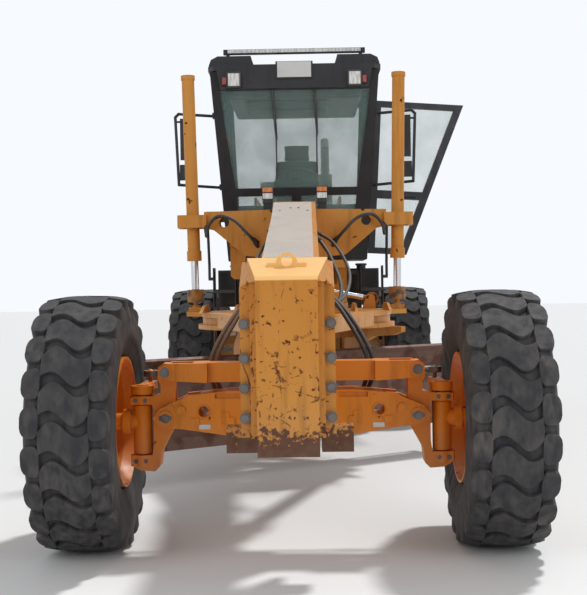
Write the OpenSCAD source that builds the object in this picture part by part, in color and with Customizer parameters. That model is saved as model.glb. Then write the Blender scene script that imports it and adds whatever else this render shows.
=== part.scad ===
// Motor grader with an articulated frame, a leaning front axle and a centre-mounted blade.
// Millimetres. +Z is up, +Y runs towards its rear, +X is its own left side, where the open door is.
// The origin is on the ground, under the middle of the front axle.

/* [Wheels] */
// Outside diameter of a tyre over its lugs
tyre_d = 1348; // [1340:2:1360]
// Width of a tyre at its widest
tyre_w = 440; // [400:5:450]
// Outside diameter of the rim's flanges
rim_d = 690; // [660:5:710]
// Height of the tread lugs
lug_h = 26; // [15:1:32]
// Tread lugs around each row
lug_count = 22; // [16:1:28]
// Distance from the centre plane to the middle of a tyre
half_track = 1075; // [1065:5:1110]

/* [Running gear] */
// Front axle to the middle of the tandem
wheelbase = 6280; // [6200:10:6400]
// Between the two wheel centres of a tandem case
tandem_c = 1572; // [1520:4:1620]
// Height of the axle beam's oscillation pin
axle_pin_z = 740; // [720:5:760]
// Half of the distance between the kingpins
kingpin_x = 795; // [785:5:800]
// Half of the distance between the lower lean pins
lean_x = 660; // [650:5:670]
// Height of the lower lean pins
lean_z = 700; // [690:5:710]
// Height from the lower lean pins to the lean bar's pins
lean_rise = 240; // [235:5:250]

/* [Frame] */
// Half of the main beam's width
beam_w = 150; // [130:5:160]
// Distance from the front axle back to the articulation hinge
hinge_y = 3860; // [3840:5:3900]
// Distance from the front axle forward to the push plate's face
nose_y = 950; // [900:10:980]
// Distance from the front axle back to the lift cylinders
saddle_y = 2900; // [2880:5:2940]
// Half of the distance between the lift cylinders' trunnions
trunnion_x = 815; // [800:5:830]
// Height of the trunnions
trunnion_z = 1900; // [1880:5:1920]

/* [Blade] */
// Length of the moldboard
blade_l = 3660; // [3000:20:3700]
// Height of the cutting edge above the ground
blade_up = 250; // [220:5:280]
// Turn of the circle from straight across
blade_turn = 34; // [20:1:40]
// Radius of the moldboard's curve
blade_r = 430; // [400:5:460]
// Radius of the circle
circle_r = 765; // [740:5:780]
// Distance from the front axle back to the middle of the circle
circle_y = 2750; // [2740:5:2780]

/* [Cab] */
// Half of the cab's width at the roof
cab_w = 755; // [740:5:770]
// How far each side wall leans in towards the floor, in degrees
cab_lean = 3.4; // [2:0.2:4]
// Height of the cab floor
floor_z = 1620; // [1600:5:1640]
// Height of the roof's edge
roof_z = 3300; // [3280:5:3320]
// Opening of the left door
door_turn = 95; // [85:1:100]

/* [Hidden] */
$fn = 64;
tyre_r = tyre_d / 2;
carcass_r = tyre_r - lug_h;
rim_r = rim_d / 2;
axle_z = tyre_r;
tandem_y = [wheelbase - tandem_c / 2, wheelbase + tandem_c / 2];
tandem_pin_z = axle_z + 50;
steer_r = 300;
arm_z = 845;
rod_z = arm_z + 60;
lean_up = lean_z + lean_rise;
fit = 0.3;
gap = 6;
ochre = [0.80, 0.47, 0.15];
bright = [0.88, 0.45, 0.10];
black = [0.08, 0.08, 0.09];
grey = [0.45, 0.45, 0.46];
chrome = [0.80, 0.80, 0.82];
rubber = [0.16, 0.16, 0.17];
glass = [0.30, 0.42, 0.40, 0.5];
lens = [0.90, 0.90, 0.86];
amber = [0.85, 0.35, 0.05];
cab_front = 3950;
cab_back = 5380;
cab_slope = 560;
wall = 45;
door_y = 4990;
step_y = 4540;
frame_top = 1560;
hood_y = 5480;
hood_end = 8480;
hood_z = 2140;
rod_r = 30;
lift_eye = [803, saddle_y, 1300];
lift_l = trunnion_z - lift_eye[2];
lift_lean = atan((trunnion_x - lift_eye[0]) / lift_l);
ball = [0, 520, 1080];
shift_y = 3080;
shift_from = [-470, 1485];
shift_to = [600, 1265];
shift_l = norm(shift_to - shift_from);
shift_dip = atan((shift_from[1] - shift_to[1]) / (shift_to[0] - shift_from[0]));

// A box between two corners, given in any order.
module span(a, b) {
    low = [for (i = [0:2]) min(a[i], b[i])];
    translate(low) cube([for (i = [0:2]) abs(b[i] - a[i])]);
}

// A round bar centred at p along x, y or z.
module bar_x(p, r, l) {
    translate(p) rotate([0, 90, 0]) cylinder(r = r, h = l, center = true);
}
module bar_y(p, r, l) {
    translate(p) rotate([90, 0, 0]) cylinder(r = r, h = l, center = true);
}
module bar_z(p, r, l) {
    translate(p) cylinder(r = r, h = l, center = true);
}

// A side outline of [y, z] points, w wide across x.
module side_plate(points, w, x = 0, round = 0) {
    translate([x, 0, 0]) rotate([90, 0, 90]) linear_extrude(w, center = true)
        offset(round, $fn = 24) offset(-round) polygon(points);
}

// A front outline of [x, z] points between two distances.
module front_plate(points, y0, y1) {
    translate([0, y1, 0]) rotate([90, 0, 0]) linear_extrude(y1 - y0) polygon(points);
}

// A plan outline of [x, y] points between two heights.
module plan_plate(points, z0, z1) {
    translate([0, 0, z0]) linear_extrude(z1 - z0) polygon(points);
}

// A round tube through points, with balls a hair larger at its bends.
module tube(points, r) {
    for (i = [1:len(points) - 1]) {
        v = points[i] - points[i - 1];
        translate(points[i - 1]) rotate([0, acos(v[2] / norm(v)), atan2(v[1], v[0])])
            cylinder(r = r, h = norm(v), $fn = 24);
        if (i < len(points) - 1) translate(points[i]) sphere(r = r + 0.6, $fn = 24);
    }
}

// Left and right copies across the centre plane.
module both() {
    children();
    mirror([1, 0, 0]) children();
}

// Wheels. Each is drawn about its own centre with its outer face towards +X.
function lug_ring(n, r0, r1, part, turn) = [
    for (i = [0:n - 1], c = [[-0.5, r0], [-0.4, r1], [0.4, r1], [0.5, r0]])
        let (a = 360 / n * (i + turn + c[0] * part)) c[1] * [cos(a), sin(a)]
];

// Half of the tyre's section: radius and distance from its middle.
tyre_half = [[rim_r + fit, 155], [rim_r + 28, 185], [rim_r + 85, tyre_w / 2 - 8],
    [rim_r + 150, tyre_w / 2], [carcass_r - 90, tyre_w / 2 - 3], [carcass_r - 40, tyre_w / 2 - 14],
    [carcass_r - 12, tyre_w / 2 - 45], [carcass_r, 110]];

// Rows of lugs: where a row starts, its width, its turn in pitches, its drop and its share.
lug_rows = [[-212, 84, 0, 7, 0.66], [-108, 92, 0.5, 0, 0.78], [16, 92, 0.25, 0, 0.78],
    [128, 84, 0.75, 7, 0.66]];

module tyre() {
    color(rubber) {
        rotate([0, 90, 0]) rotate_extrude() polygon(concat(
            [for (p = tyre_half) [p[0], -p[1]]],
            [for (i = [len(tyre_half) - 1:-1:0]) tyre_half[i]]));
        for (row = lug_rows) translate([row[0], 0, 0]) rotate([0, 90, 0]) linear_extrude(row[1])
            difference() {
                polygon(lug_ring(lug_count, carcass_r - 30, tyre_r - row[3], row[4], row[2]));
                circle(r = carcass_r - 50);
            }
    }
}

module rim() {
    color(bright) {
        rotate([0, 90, 0]) rotate_extrude() polygon([[rim_r, -195], [rim_r, -150], [rim_r - 22, -140],
            [rim_r - 30, 140], [rim_r, 150], [rim_r, 195], [rim_r - 12, 195], [rim_r - 44, 130],
            [rim_r - 46, 70], [225, 52], [150, 20], [100, 20], [100, -6], [160, -6], [235, 28],
            [rim_r - 46, 44], [rim_r - 40, -130], [rim_r - 12, -195]]);
        rotate([0, 90, 0]) rotate_extrude() polygon([[45 + fit, -110], [95, -110], [125, -80],
            [125, 60], [95, 90], [88, 150], [60, 162], [0, 162], [0, -65], [45 + fit, -65]]);
        for (i = [0:9]) rotate([i * 36, 0, 0]) bar_x([20, 0, 155], 15, 60);
    }
}

module wheel_at(side, y) {
    translate([side * half_track, y, axle_z]) mirror([side < 0 ? 1 : 0, 0, 0]) children();
}

// Front axle.
module front_axle() {
    color(bright) difference() {
        union() {
            front_plate([[-560, 640], [-330, 605], [330, 605], [560, 640], [560, 815], [330, 838],
                [-330, 838], [-560, 815]], -110, 110);
            both() for (y = [-110, 66]) front_plate([[540, 640], [690, 650], [728, 700], [690, 750],
                [540, 815]], y, y + 44);
            both() for (x = [320, 505]) front_plate([[x - 22, 660], [x + 22, 660], [x + 22, 700],
                [x - 22, 700]], -118, 0);
        }
        bar_y([0, 0, axle_pin_z], 45 + fit, 300);
        both() {
            bar_y([460, 0, 733], 28, 300);
            bar_y([lean_x, 0, lean_z], 30 + fit, 300);
            span([485, -65, 500], [655, 65, 900]);
        }
        both() for (y = [-111, 95]) span([250, y, 800], [400, y + 16, 826]);
    }
    color(grey) both() {
        bar_y([lean_x, 0, lean_z], 30, 236);
        for (s = [-1, 1]) bar_y([lean_x, s * 116, lean_z], 40, 8);
    }
    color(grey) both() bar_y([575, -112, 742], 22, 30);
}

module lean_bar() {
    color(bright) difference() {
        union() {
            span([-520, -64, lean_up - 58], [520, 64, lean_up + 45]);
            both() for (y = [-104, 64]) front_plate([[440, lean_up - 58], [650, lean_up - 45],
                [690, lean_up - 25], [700, lean_up], [690, lean_up + 25], [650, lean_up + 45],
                [440, lean_up + 45]], y, y + 40);
        }
        both() bar_y([lean_x, 0, lean_up], 25 + fit, 300);
    }
    color(grey) both() {
        bar_y([lean_x, 0, lean_up], 25, 228);
        for (s = [-1, 1]) bar_y([lean_x, s * 110, lean_up], 36, 10);
    }
}

module wheel_bracket(s) {
    mirror([s < 0 ? 1 : 0, 0, 0]) color(bright) difference() {
        union() {
            front_plate([[625, 640], [690, 520], [700, 440], [725, 415], [800, 420], [850, 450],
                [850, 500], [738, 500], [730, 560], [730, 745], [738, 768], [850, 768], [850, 805],
                [735, 812], [690, 822], [690, 872], [705, 900], [702, lean_up + 25],
                [675, lean_up + 44], [640, lean_up + 42], [615, lean_up + 15], [615, 760],
                [605, 700]], -60, 60);
            for (z = [[440, 500], [768, 812]]) translate([kingpin_x, 0, z[0]])
                cylinder(r = 66, h = z[1] - z[0]);
        }
        bar_y([lean_x, 0, lean_z], 30 + fit, 300);
        bar_y([lean_x, 0, lean_up], 25 + fit, 300);
        bar_z([kingpin_x, 0, 640], 34 + fit, 600);
    }
}

module rod_ball(s) {
    translate([s * kingpin_x, steer_r, arm_z - 30]) cylinder(r = 11, h = rod_z - arm_z + 30);
    translate([s * kingpin_x, steer_r, rod_z]) sphere(r = 24);
}

module knuckle(s) {
    color(bright) mirror([s < 0 ? 1 : 0, 0, 0]) difference() {
        union() {
            translate([kingpin_x, 0, 506]) cylinder(r = 50, h = 256);
            translate([kingpin_x, 0, 425]) cylinder(r = 34, h = 445);
            bar_x([(kingpin_x + half_track - 70) / 2, 0, axle_z], 45, half_track - 70 - kingpin_x);
            bar_x([kingpin_x + 80, 0, axle_z], 66, 40);
            translate([kingpin_x, 0, arm_z - 25]) cylinder(r = 60, h = 45);
            span([kingpin_x - 30, 20, arm_z - 22], [kingpin_x + 30, steer_r, arm_z + 18]);
            translate([kingpin_x, steer_r, arm_z - 22]) cylinder(r = 38, h = 40);
        }
        if (s > 0) bar_z([kingpin_x, steer_r, arm_z], 18 + fit, 200);
    }
    color(grey) if (s < 0) rod_ball(s);
}

module tie_rod_ball() {
    color(grey) {
        rod_ball(1);
        translate([kingpin_x, steer_r, arm_z - 50]) cylinder(r = 18, h = 64);
    }
}

module tie_rod() {
    color(grey) difference() {
        union() {
            bar_x([0, steer_r, rod_z], 20, 2 * kingpin_x - 40);
            both() bar_z([kingpin_x, steer_r, rod_z], 38, 32);
            bar_z([12 - kingpin_x, steer_r, rod_z], 42, 32);
            bar_y([kingpin_x, steer_r, rod_z], 12, 90);
            both() bar_x([620, steer_r, rod_z], 27, 110);
        }
        both() translate([kingpin_x, steer_r, rod_z]) sphere(r = 24 + fit);
        for (x = [0, 12]) translate([x - kingpin_x, steer_r, rod_z]) sphere(r = 26);
        bar_x([6 - kingpin_x, steer_r, rod_z], 25.5, 12);
    }
}

// Front frame: one long box beam from the nose to the articulation, with the saddle on it.
module front_frame() {
    color(ochre) {
        difference() {
            union() {
                side_plate([[-560, 1080], [-560, 1478], [500, 1535], [2200, 1862], [2830, 2028],
                    [3060, 2028], [3330, 1890], [3700, 1690], [3700, 1110], [3642, 1110],
                    [3632, 1400], [3560, 1450], [3350, 1490], [3050, 1560], [2700, 1600],
                    [2200, 1500], [500, 1190], [420, 1120]], 2 * beam_w);
                side_plate([[-560, 1470], [-560, 1492], [500, 1550], [2200, 1878], [2830, 2045],
                    [3060, 2045], [3345, 1902], [3700, 1706], [3700, 1680], [3330, 1880],
                    [3060, 2020], [2830, 2020], [2200, 1855], [500, 1528]], 2 * beam_w + 24);
                for (y = [-168, 125]) front_plate([[-160, 1100], [-160, 700], [-90, 640], [90, 640],
                    [160, 700], [160, 1100]], y, y + 43);
                side_plate([[165, 1100], [520, 1200], [520, 1165], [440, 1010], [400, 1010],
                    [330, 1050], [165, 1050]], 200);
                for (z = [[1110, 1188], [1612, 1690]]) plan_plate([[-140, 3640], [140, 3640],
                    [130, hinge_y], [-130, hinge_y]], z[0], z[1]);
                for (z = [[1110, 1188], [1612, 1690]]) translate([0, hinge_y, z[0]])
                    cylinder(r = 130, h = z[1] - z[0]);
            }
            bar_y([0, 0, axle_pin_z], 45 + fit, 800);
            translate(ball) sphere(r = 82);
            bar_x(ball, 60, 204);
            translate([0, hinge_y, 1000]) cylinder(r = 60 + fit, h = 800);
        }
        both() saddle();
        shift_hanger();
    }
    color(grey) {
        bar_y([0, 0, axle_pin_z], 45, 344);
        bar_y([shift_from[0], shift_y, shift_from[1]], 20, 116);
    }
}

// One side of the saddle: two gusset plates, the web between them and the trunnion's yoke.
module saddle() {
    gusset = [[140, 1600], [400, 1625], [650, 1835], [720, 1850], [720, 1975], [140, 1985]];
    difference() {
        for (y = [2822, 2958]) front_plate(gusset, y, y + 22);
        for (y = [2822, 2958]) bar_y([560, y + 10, 1890], 38, 60);
    }
    front_plate([[145, 1600], [398, 1626], [648, 1838], [705, 1845], [705, 1860], [640, 1856],
        [390, 1645], [145, 1618]], 2840, 2962);
    front_plate([[145, 1962], [705, 1962], [705, 1978], [145, 1978]], 2840, 2962);
    difference() {
        plan_plate([[700, 2787], [905, 2787], [930, 2812], [930, 3000], [905, 3025], [700, 3025]],
            1850, 1950);
        span([742, 2817, 1800], [888, 2995, 2000]);
        bar_x([trunnion_x, saddle_y, trunnion_z], 26 + fit, 300);
    }
}

// The two cheeks that hold the pin of the centre-shift cylinder's barrel.
module shift_hanger() {
    span([-530, 2975, 1700], [-410, shift_y + 50, 1780]);
    x = shift_from[0];
    z = shift_from[1];
    for (y = [shift_y - 50, shift_y + 32]) difference() {
        front_plate([[x - 60, 1760], [x - 60, z - 20], [x - 30, z - 45], [x + 30, z - 45], [x + 60, z - 20],
            [x + 60, 1760]], y, y + 18);
        bar_y([x, y, z], 20 + fit, 60);
    }
}

module push_block() {
    color(ochre) {
        span([-140, -nose_y, 620], [140, -nose_y + 40, 1410]);
        both() {
            span([176, -868, 700], [216, -300, 1440]);
            span([130, -nose_y + 40, 700], [168, -560 - fit, 1400]);
            span([168, -868, 720], [176, -560 - fit, 1400]);
            span([152, -610, 590], [304, -480, 712]);
        }
        side_plate([[-nose_y, 1410], [-nose_y + 20, 1428], [-640, 1518], [-560 - fit, 1518], [-560 - fit, 1494],
            [-640, 1494], [-nose_y + 40, 1402], [-nose_y, 1402]], 380);
        both() side_plate([[-880, 1390], [-880, 1425], [-640, 1499], [-560 - fit, 1499],
            [-560 - fit, 1390]], 36, 198);
    }
    color(grey) both() for (z = [790, 925, 1060, 1215]) for (y = [-872]) bar_y([196, y, z], 17, 24);
    color(ochre) lifting_eye();
}

// The lifting eye on the nose: an upright ring on a flat foot.
module lifting_eye() {
    translate([0, -770, 1466]) difference() {
        union() {
            bar_y([0, 0, 22], 50, 30);
            span([-92, -15, 0], [92, 15, 24]);
        }
        bar_y([0, 0, 34], 26, 40);
        span([-60, -20, -60], [60, 20, 0]);
    }
}

module headlamps() {
    both() {
        color(black) {
            span([180, 2850, 1978 + fit], [250, 2905, 2040]);
            bar_z([215, 2878, 2052], 42, 30);
        }
        color(lens) span([172, 2846, 2067 + fit], [258, 2916, 2120]);
        color(amber) span([172, 2846, 2120 + fit], [258, 2916, 2165]);
    }
}

// Drawbar, circle and blade.
module drawbar() {
    color(ochre) {
        difference() {
            union() {
                translate(ball) sphere(r = 80, $fn = 40);
                both() plan_plate([[10, 560], [100, 560], [570, 2150], [570, 2260], [470, 2260],
                    [10, 720]], 1080, 1185);
                plan_plate([[-570, 2150], [570, 2150], [690, 2400], [745, 2750], [870, 2830],
                    [870, 2970], [700, 2990], [640, 3160], [560, 3300], [-560, 3300], [-700, 2990],
                    [-870, 2970], [-870, 2830], [-745, 2750], [-690, 2400]], 1150, 1186);
                both() {
                    span([750, 2845, 1186], [856, 2955, 1222]);
                    side_plate([[2200, 1186], [2500, 1240], [2845, 1240], [2955, 1186]], 20, 700);
                    side_plate([[2200, 1186], [2500, 1240], [2845, 1240], [3020, 1186]], 20, 450);
                }
            }
            translate([0, circle_y, 1100]) cylinder(r = 330, h = 200);
            translate([0, circle_y, 1000]) cylinder(r = circle_r + 8, h = 150);
        }
        translate([280, circle_y - 430, 1180]) {
            cylinder(r = 110, h = 70);
            cylinder(r = 80, h = 150);
        }
        both() translate([lift_eye[0], lift_eye[1], 1220]) cylinder(r = 45, h = 14);
        both() translate([lift_eye[0], lift_eye[1], 1223]) cylinder(r = 18, h = 70);
        both() translate(lift_eye) sphere(r = 28, $fn = 32);
        for (y = [shift_y - 58, shift_y + 60]) front_plate([[535, 1180], [640, 1180],
            [shift_to[0] + 32, shift_to[1] + 20], [shift_to[0] + 15, shift_to[1] + 40],
            [shift_to[0] - 15, shift_to[1] + 40], [560, shift_to[1] + 20]], y, y + 18);
        bar_y([shift_to[0], shift_y + 10, shift_to[1]], 20, 138);
        for (a = [45:90:315]) translate([0, circle_y, 0]) rotate([0, 0, a])
            span([670, -60, 1144 + fit], [715, 60, 1160]);
    }
}

module blade_circle() {
    translate([0, circle_y, 0]) rotate([0, 0, blade_turn]) color(ochre) {
        difference() {
            union() {
                translate([0, 0, 1060]) cylinder(r = circle_r, h = 34);
                translate([0, 0, 1060]) cylinder(r = circle_r - 35, h = 84);
            }
            translate([0, 0, 1000]) linear_extrude(200) polygon([for (i = [0:59],
                c = [[0, 655], [0.25, 655], [0.5, 632], [0.75, 632]])
                c[1] * [cos(6 * (i + c[0])), sin(6 * (i + c[0]))]]);
        }
        both() difference() {
            side_plate([[-680, 1060], [-20, 1060], [55, 930], [60, 640], [0, 585], [-75, 600],
                [-95, 700], [-100, 770], [-150, 905], [-330, 975], [-560, 990], [-680, 1020]],
                40, 520);
            bar_x([520, -30, 640], 30 + fit, 100);
        }
        front_plate([[-500, 960], [500, 960], [500, 1060], [-500, 1060]], -60, -20);
    }
}

module blade_carrier() {
    translate([0, circle_y, 0]) rotate([0, 0, blade_turn]) color(ochre) {
        difference() {
            union() {
                span([-490, -85, 580], [490, -20, 690]);
                both() {
                    side_plate([[-112, 780], [-30, 780], [30, 690], [30, 600], [0, 420],
                        [-112, 420]], 40, 575);
                    span([484, -85, 600], [495, -10, 690]);
                    for (z = [[418, 486], [678, 746]]) span([550, -166, z[0]], [640, -105, z[1]]);
                }
                bar_x([-380, -55, 525], 40, 1360);
                bar_x([280, -55, 525], 46, 40);
            }
            for (z = [424, 684]) span([-700, -175 - fit, z - fit], [700, -125 + fit, z + 56 + fit]);
            bar_x([575, -55, 525], 28, 80);
            bar_x([-377.5, -55, 525], 22 + fit, 1355);
        }
        both() bar_x([540, -30, 640], 30, 110);
    }
}

function arc_points(r, a0, a1, n) = [for (i = [0:n]) let (a = a0 + (a1 - a0) * i / n)
    [r * cos(a), r * sin(a)]];

module moldboard() {
    mid = blade_up + 330;
    translate([0, circle_y, 0]) rotate([0, 0, blade_turn]) {
        color([0.30, 0.18, 0.15]) {
            translate([0, -160 - blade_r, mid]) side_plate(concat(arc_points(blade_r, -46, 46, 12),
                arc_points(blade_r - 22, 46, -46, 12)), blade_l);
            for (z = [424, 684]) span([-1300, -190, z], [1300, -125, z + 56]);
            translate([0, -160 - blade_r, mid]) side_plate([[blade_r * cos(46) - 22, -250],
                [blade_r * cos(46) + 8, -255], [blade_r * cos(46) - 42, -330],
                [blade_r * cos(46) - 62, -330]], blade_l);
            both() translate([0, -160 - blade_r, mid]) side_plate([[blade_r * cos(46) - 40, 300],
                [blade_r * cos(46) + 12, 300], [blade_r * cos(20), 150], [blade_r, 0],
                [blade_r * cos(20), -150], [blade_r * cos(46) - 40, -330],
                [blade_r * cos(46) - 80, -330], [blade_r - 60, 0]], 25, blade_l / 2 - 13);
        }
        color(chrome) bar_x([450, -55, 525], 22, 1700);
        color(ochre) span([1298, -172, 485], [1340, -30, 565]);
    }
}

// Blade lift cylinders and the centre-shift cylinder.
module at_trunnion(s) {
    translate([s * trunnion_x, saddle_y, trunnion_z]) rotate([0, s * lift_lean, 0]) children();
}

module lift_barrel(s) {
    color(ochre) {
        at_trunnion(s) difference() {
            union() {
                translate([0, 0, -300]) cylinder(r = 50, h = 1460);
                translate([0, 0, -310]) cylinder(r = 58, h = 80);
                translate([0, 0, 1130]) cylinder(r = 56, h = 34);
                translate([0, 0, -50]) cylinder(r = 66, h = 100);
            }
            translate([0, 0, -340]) cylinder(r = rod_r + fit, h = 1400);
        }
        for (x = [-85, 85]) bar_x([s * trunnion_x + x, saddle_y, trunnion_z], 26, 66);
        at_trunnion(s) {
            translate([0, 70, -300]) cylinder(r = 10, h = 1240);
            for (z = [-290, 915]) span([-16, 30, z], [16, 86, z + 30]);
        }
    }
}

module lift_rod(s) {
    l = lift_l / cos(lift_lean);
    at_trunnion(s) color(chrome) difference() {
        union() {
            translate([0, 0, -l + 30]) cylinder(r = rod_r, h = 700);
            translate([0, 0, -l - 38]) cylinder(r = 66, h = 100);
        }
        translate([0, 0, -l]) sphere(r = 50);
        translate([0, 0, -l - 90]) cylinder(r = 45, h = 70);
    }
}

// The centre-shift cylinder, drawn along +X from the pin under the saddle.
module along_shift() {
    translate([shift_from[0], shift_y, shift_from[1]]) rotate([0, shift_dip, 0]) children();
}

module shift_barrel() {
    along_shift() color(ochre) difference() {
        union() {
            bar_x([360, 0, 0], 45, 550);
            bar_x([610, 0, 0], 48, 50);
            bar_x([70, 0, 0], 24, 120);
            bar_y([0, 0, 0], 45, 52);
        }
        bar_x([490, 0, 0], 22 + fit, 420);
        bar_y([0, 0, 0], 20 + fit, 70);
    }
}

// Its eye is bored wide, so that the drawbar's pin can lift and swing in it.
module shift_rod() {
    along_shift() color(chrome) difference() {
        union() {
            bar_x([(375 + shift_l - 30) / 2, 0, 0], 22, shift_l - 405);
            bar_y([shift_l + 13, 0, 5], 54, 52);
        }
        bar_y([shift_l + 13, 0, 5], 38, 70);
    }
}

// Rear frame.
module rear_frame() {
    color(ochre) {
        both() side_plate([[4060, 1180], [4060, 1540], [4090, frame_top], [5360, frame_top],
            [5470, 1399], [8350, 1399], [8350, 1080], [7300, 1000], [5300, 1000], [4500, 1130]],
            90, 400);
        for (y = [4075, 5300, 7400, 8335]) span([-360, y - 15, 1150], [360, y + 15, 1390]);
        for (z = [[1194, 1264], [1536, 1606]]) {
            plan_plate([[-445, 4060], [-445, 4200], [445, 4200], [445, 4060], [125, hinge_y],
                [-125, hinge_y]], z[0], z[1]);
            translate([0, hinge_y, z[0]]) cylinder(r = 125, h = z[1] - z[0]);
        }
        translate([0, hinge_y, 1090]) cylinder(r = 60, h = 620);
        for (z = [1090, 1694]) translate([0, hinge_y, z]) cylinder(r = 85, h = 16);
        both() for (y = [4650, 5250]) translate([400, y, frame_top]) cylinder(r = 45, h = 60 - fit);
        both() difference() {
            side_plate([[wheelbase - 190, 1060], [wheelbase - 190, 660], [wheelbase + 190, 660],
                [wheelbase + 190, 1060]], 90, 385);
            bar_x([385, wheelbase, tandem_pin_z], 128 + fit, 200);
        }
        rear_block();
    }
}

// The weight across the tail, with the hitch's two ears.
module rear_block() {
    difference() {
        side_plate([[8350, 800], [8350, 1399], [8480, 1399], [8530, 1340], [8530, 860],
            [8470, 800]], 1240);
        both() front_plate([[330, 1180], [540, 1180], [540, 1290], [330, 1290]], 8500, 8540);
    }
    for (z = [880, 1010]) difference() {
        plan_plate([[-90, 8520], [90, 8520], [70, 8640], [30, 8680], [-30, 8680], [-70, 8640]],
            z, z + 30);
        translate([0, 8610, 0]) cylinder(r = 26, h = 2000);
    }
}

module rear_axle() {
    color(ochre) {
        translate([0, wheelbase, tandem_pin_z]) rotate([0, 90, 0]) rotate_extrude() polygon([[0, -660],
            [120, -660], [120, -510], [175, -510], [175, -450], [128, -440], [128, -230], [190, -140],
            [215, -50], [215, 50], [190, 140], [128, 230], [128, 440], [175, 450], [175, 510],
            [120, 510], [120, 660], [0, 660]]);
        bar_y([0, wheelbase - 250, tandem_pin_z + 20], 90, 160);
    }
}

module tandem(s) {
    color(ochre) mirror([s < 0 ? 1 : 0, 0, 0]) difference() {
        union() {
            side_plate([[tandem_y[0] - 250, 560], [tandem_y[0] - 250, 800], [tandem_y[0] - 170, 880],
                [wheelbase - 300, 900], [wheelbase - 200, 990], [wheelbase + 200, 990],
                [wheelbase + 300, 900], [tandem_y[1] + 170, 880], [tandem_y[1] + 250, 800],
                [tandem_y[1] + 250, 560], [tandem_y[1] + 160, 490], [tandem_y[0] - 160, 490]],
                200, 700);
            for (y = tandem_y) {
                bar_x([820, y, axle_z], 130, 60);
                bar_x([half_track - 170, y, axle_z], 45, 200);
                bar_x([595, y, axle_z], 120, 20);
            }
        }
        bar_x([600, wheelbase, tandem_pin_z], 120 + fit, 150);
    }
}

module engine_block() {
    color(grey) span([-370, 5900, 1399 + fit], [370, 7300, 1980]);
}

// Hood: a shell with a rounded top, open at the sides where the doors hang.
module hood_shape(inset) {
    intersection() {
        side_plate([[hood_y + inset, 1380], [hood_y + inset, hood_z - inset],
            [7800, hood_z - 60 - inset], [hood_end - 120, hood_z - 180 - inset],
            [hood_end - inset, hood_z - 320 - inset], [hood_end - inset, 1380]], 1100);
        front_plate([[-500 + inset, 1300], [-500 + inset, 2040 - inset], [-470 + inset, 2100 - inset],
            [-410 + inset, 2132 - inset], [-330 + inset, 2140 - inset], [330 - inset, 2140 - inset],
            [410 - inset, 2132 - inset], [470 - inset, 2100 - inset], [500 - inset, 2040 - inset],
            [500 - inset, 1300]], 5000, 9000);
    }
}

module hood() {
    color(ochre) {
        difference() {
            hood_shape(0);
            hood_shape(20);
            span([-600, 5000, 1300], [600, 9000, 1399 + fit]);
            span([-520, 5700, 1470], [520, 7700, 1990]);
            front_plate([[-400, 1450], [400, 1450], [400, 1780], [-400, 1780]], 8400, 8600);
            for (y = [5900:160:6700]) span([-160, y, 2000], [160, y + 60, 2200]);
            for (x = [-300, 300]) translate([x, 6300, 2000]) cylinder(r = 76 + fit, h = 200);
        }
        both() tube([[440, 5600, 2100], [440, 5600, 2290], [440, 7700, 2290], [440, 7700, 2050]], 15);
        both() tube([[440, 6650, 2100], [440, 6650, 2290]], 14);
    }
    color(black) {
        for (z = [1462:34:1770]) span([-405, 8445, z], [405, 8478, z + 14]);
        for (x = [-200, 0, 200]) span([x - 10, 8440, 1440], [x + 10, 8445, 1790]);
        span([-420, 8430, 1430], [420, 8440, 1445]);
    }
}

module hood_door(s) {
    color(ochre) mirror([s < 0 ? 1 : 0, 0, 0]) {
        difference() {
            span([484, 5700 + gap, 1470 + gap], [500, 7700 - gap, 1990 - gap]);
            for (y = [5850, 6350, 6950], z = [1560:50:1860]) span([480, y, z], [510, y + 380, z + 22]);
        }
        for (z = [1550, 1900]) {
            translate([511, 5697, z]) cylinder(r = 11 - fit, h = 60);
            span([501, 5699, z], [508, 5712, z + 60]);
            span([499, 5708, z], [508, 5760, z + 60]);
        }
        span([500, 7560, 1700], [512, 7640, 1740]);
    }
}

module side_tanks() {
    color(black) both() {
        side_plate([[4870, 1180], [4870, 1540], [5420, 1540], [5420, 1300], [5330, 1180]], 330, 620,
            25);
        for (y = [4950, 5200]) span([445 + fit, y, 1260], [456, y + 60, 1500]);
        translate([620, 5000, 1530]) cylinder(r = 45, h = 40);
    }
}

// Cab. Side walls are drawn upright and leaned inward about the roof's edge.
module leaned(s) {
    translate([s * cab_w, 0, roof_z]) rotate([0, s * cab_lean, 0]) translate([-s * cab_w, 0, -roof_z])
        children();
}

function slope_y(z) = cab_front + cab_slope * (roof_z - z) / (roof_z - floor_z);

// A side outline behind the slanted front: from the bottom and top heights, set back by d.
function behind(z0, z1, d, y1) = [[slope_y(z1) + d, z1], [slope_y(z0) + d, z0], [y1, z0], [y1, z1]];

// The cab's outline from the front, drawn in by d.
function cab_face(d) = let (t = tan(cab_lean)) [[-cab_w + d, roof_z],
    [-cab_w + d + t * (roof_z - floor_z), floor_z], [cab_w - d - t * (roof_z - floor_z), floor_z],
    [cab_w - d, roof_z]];

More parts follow.
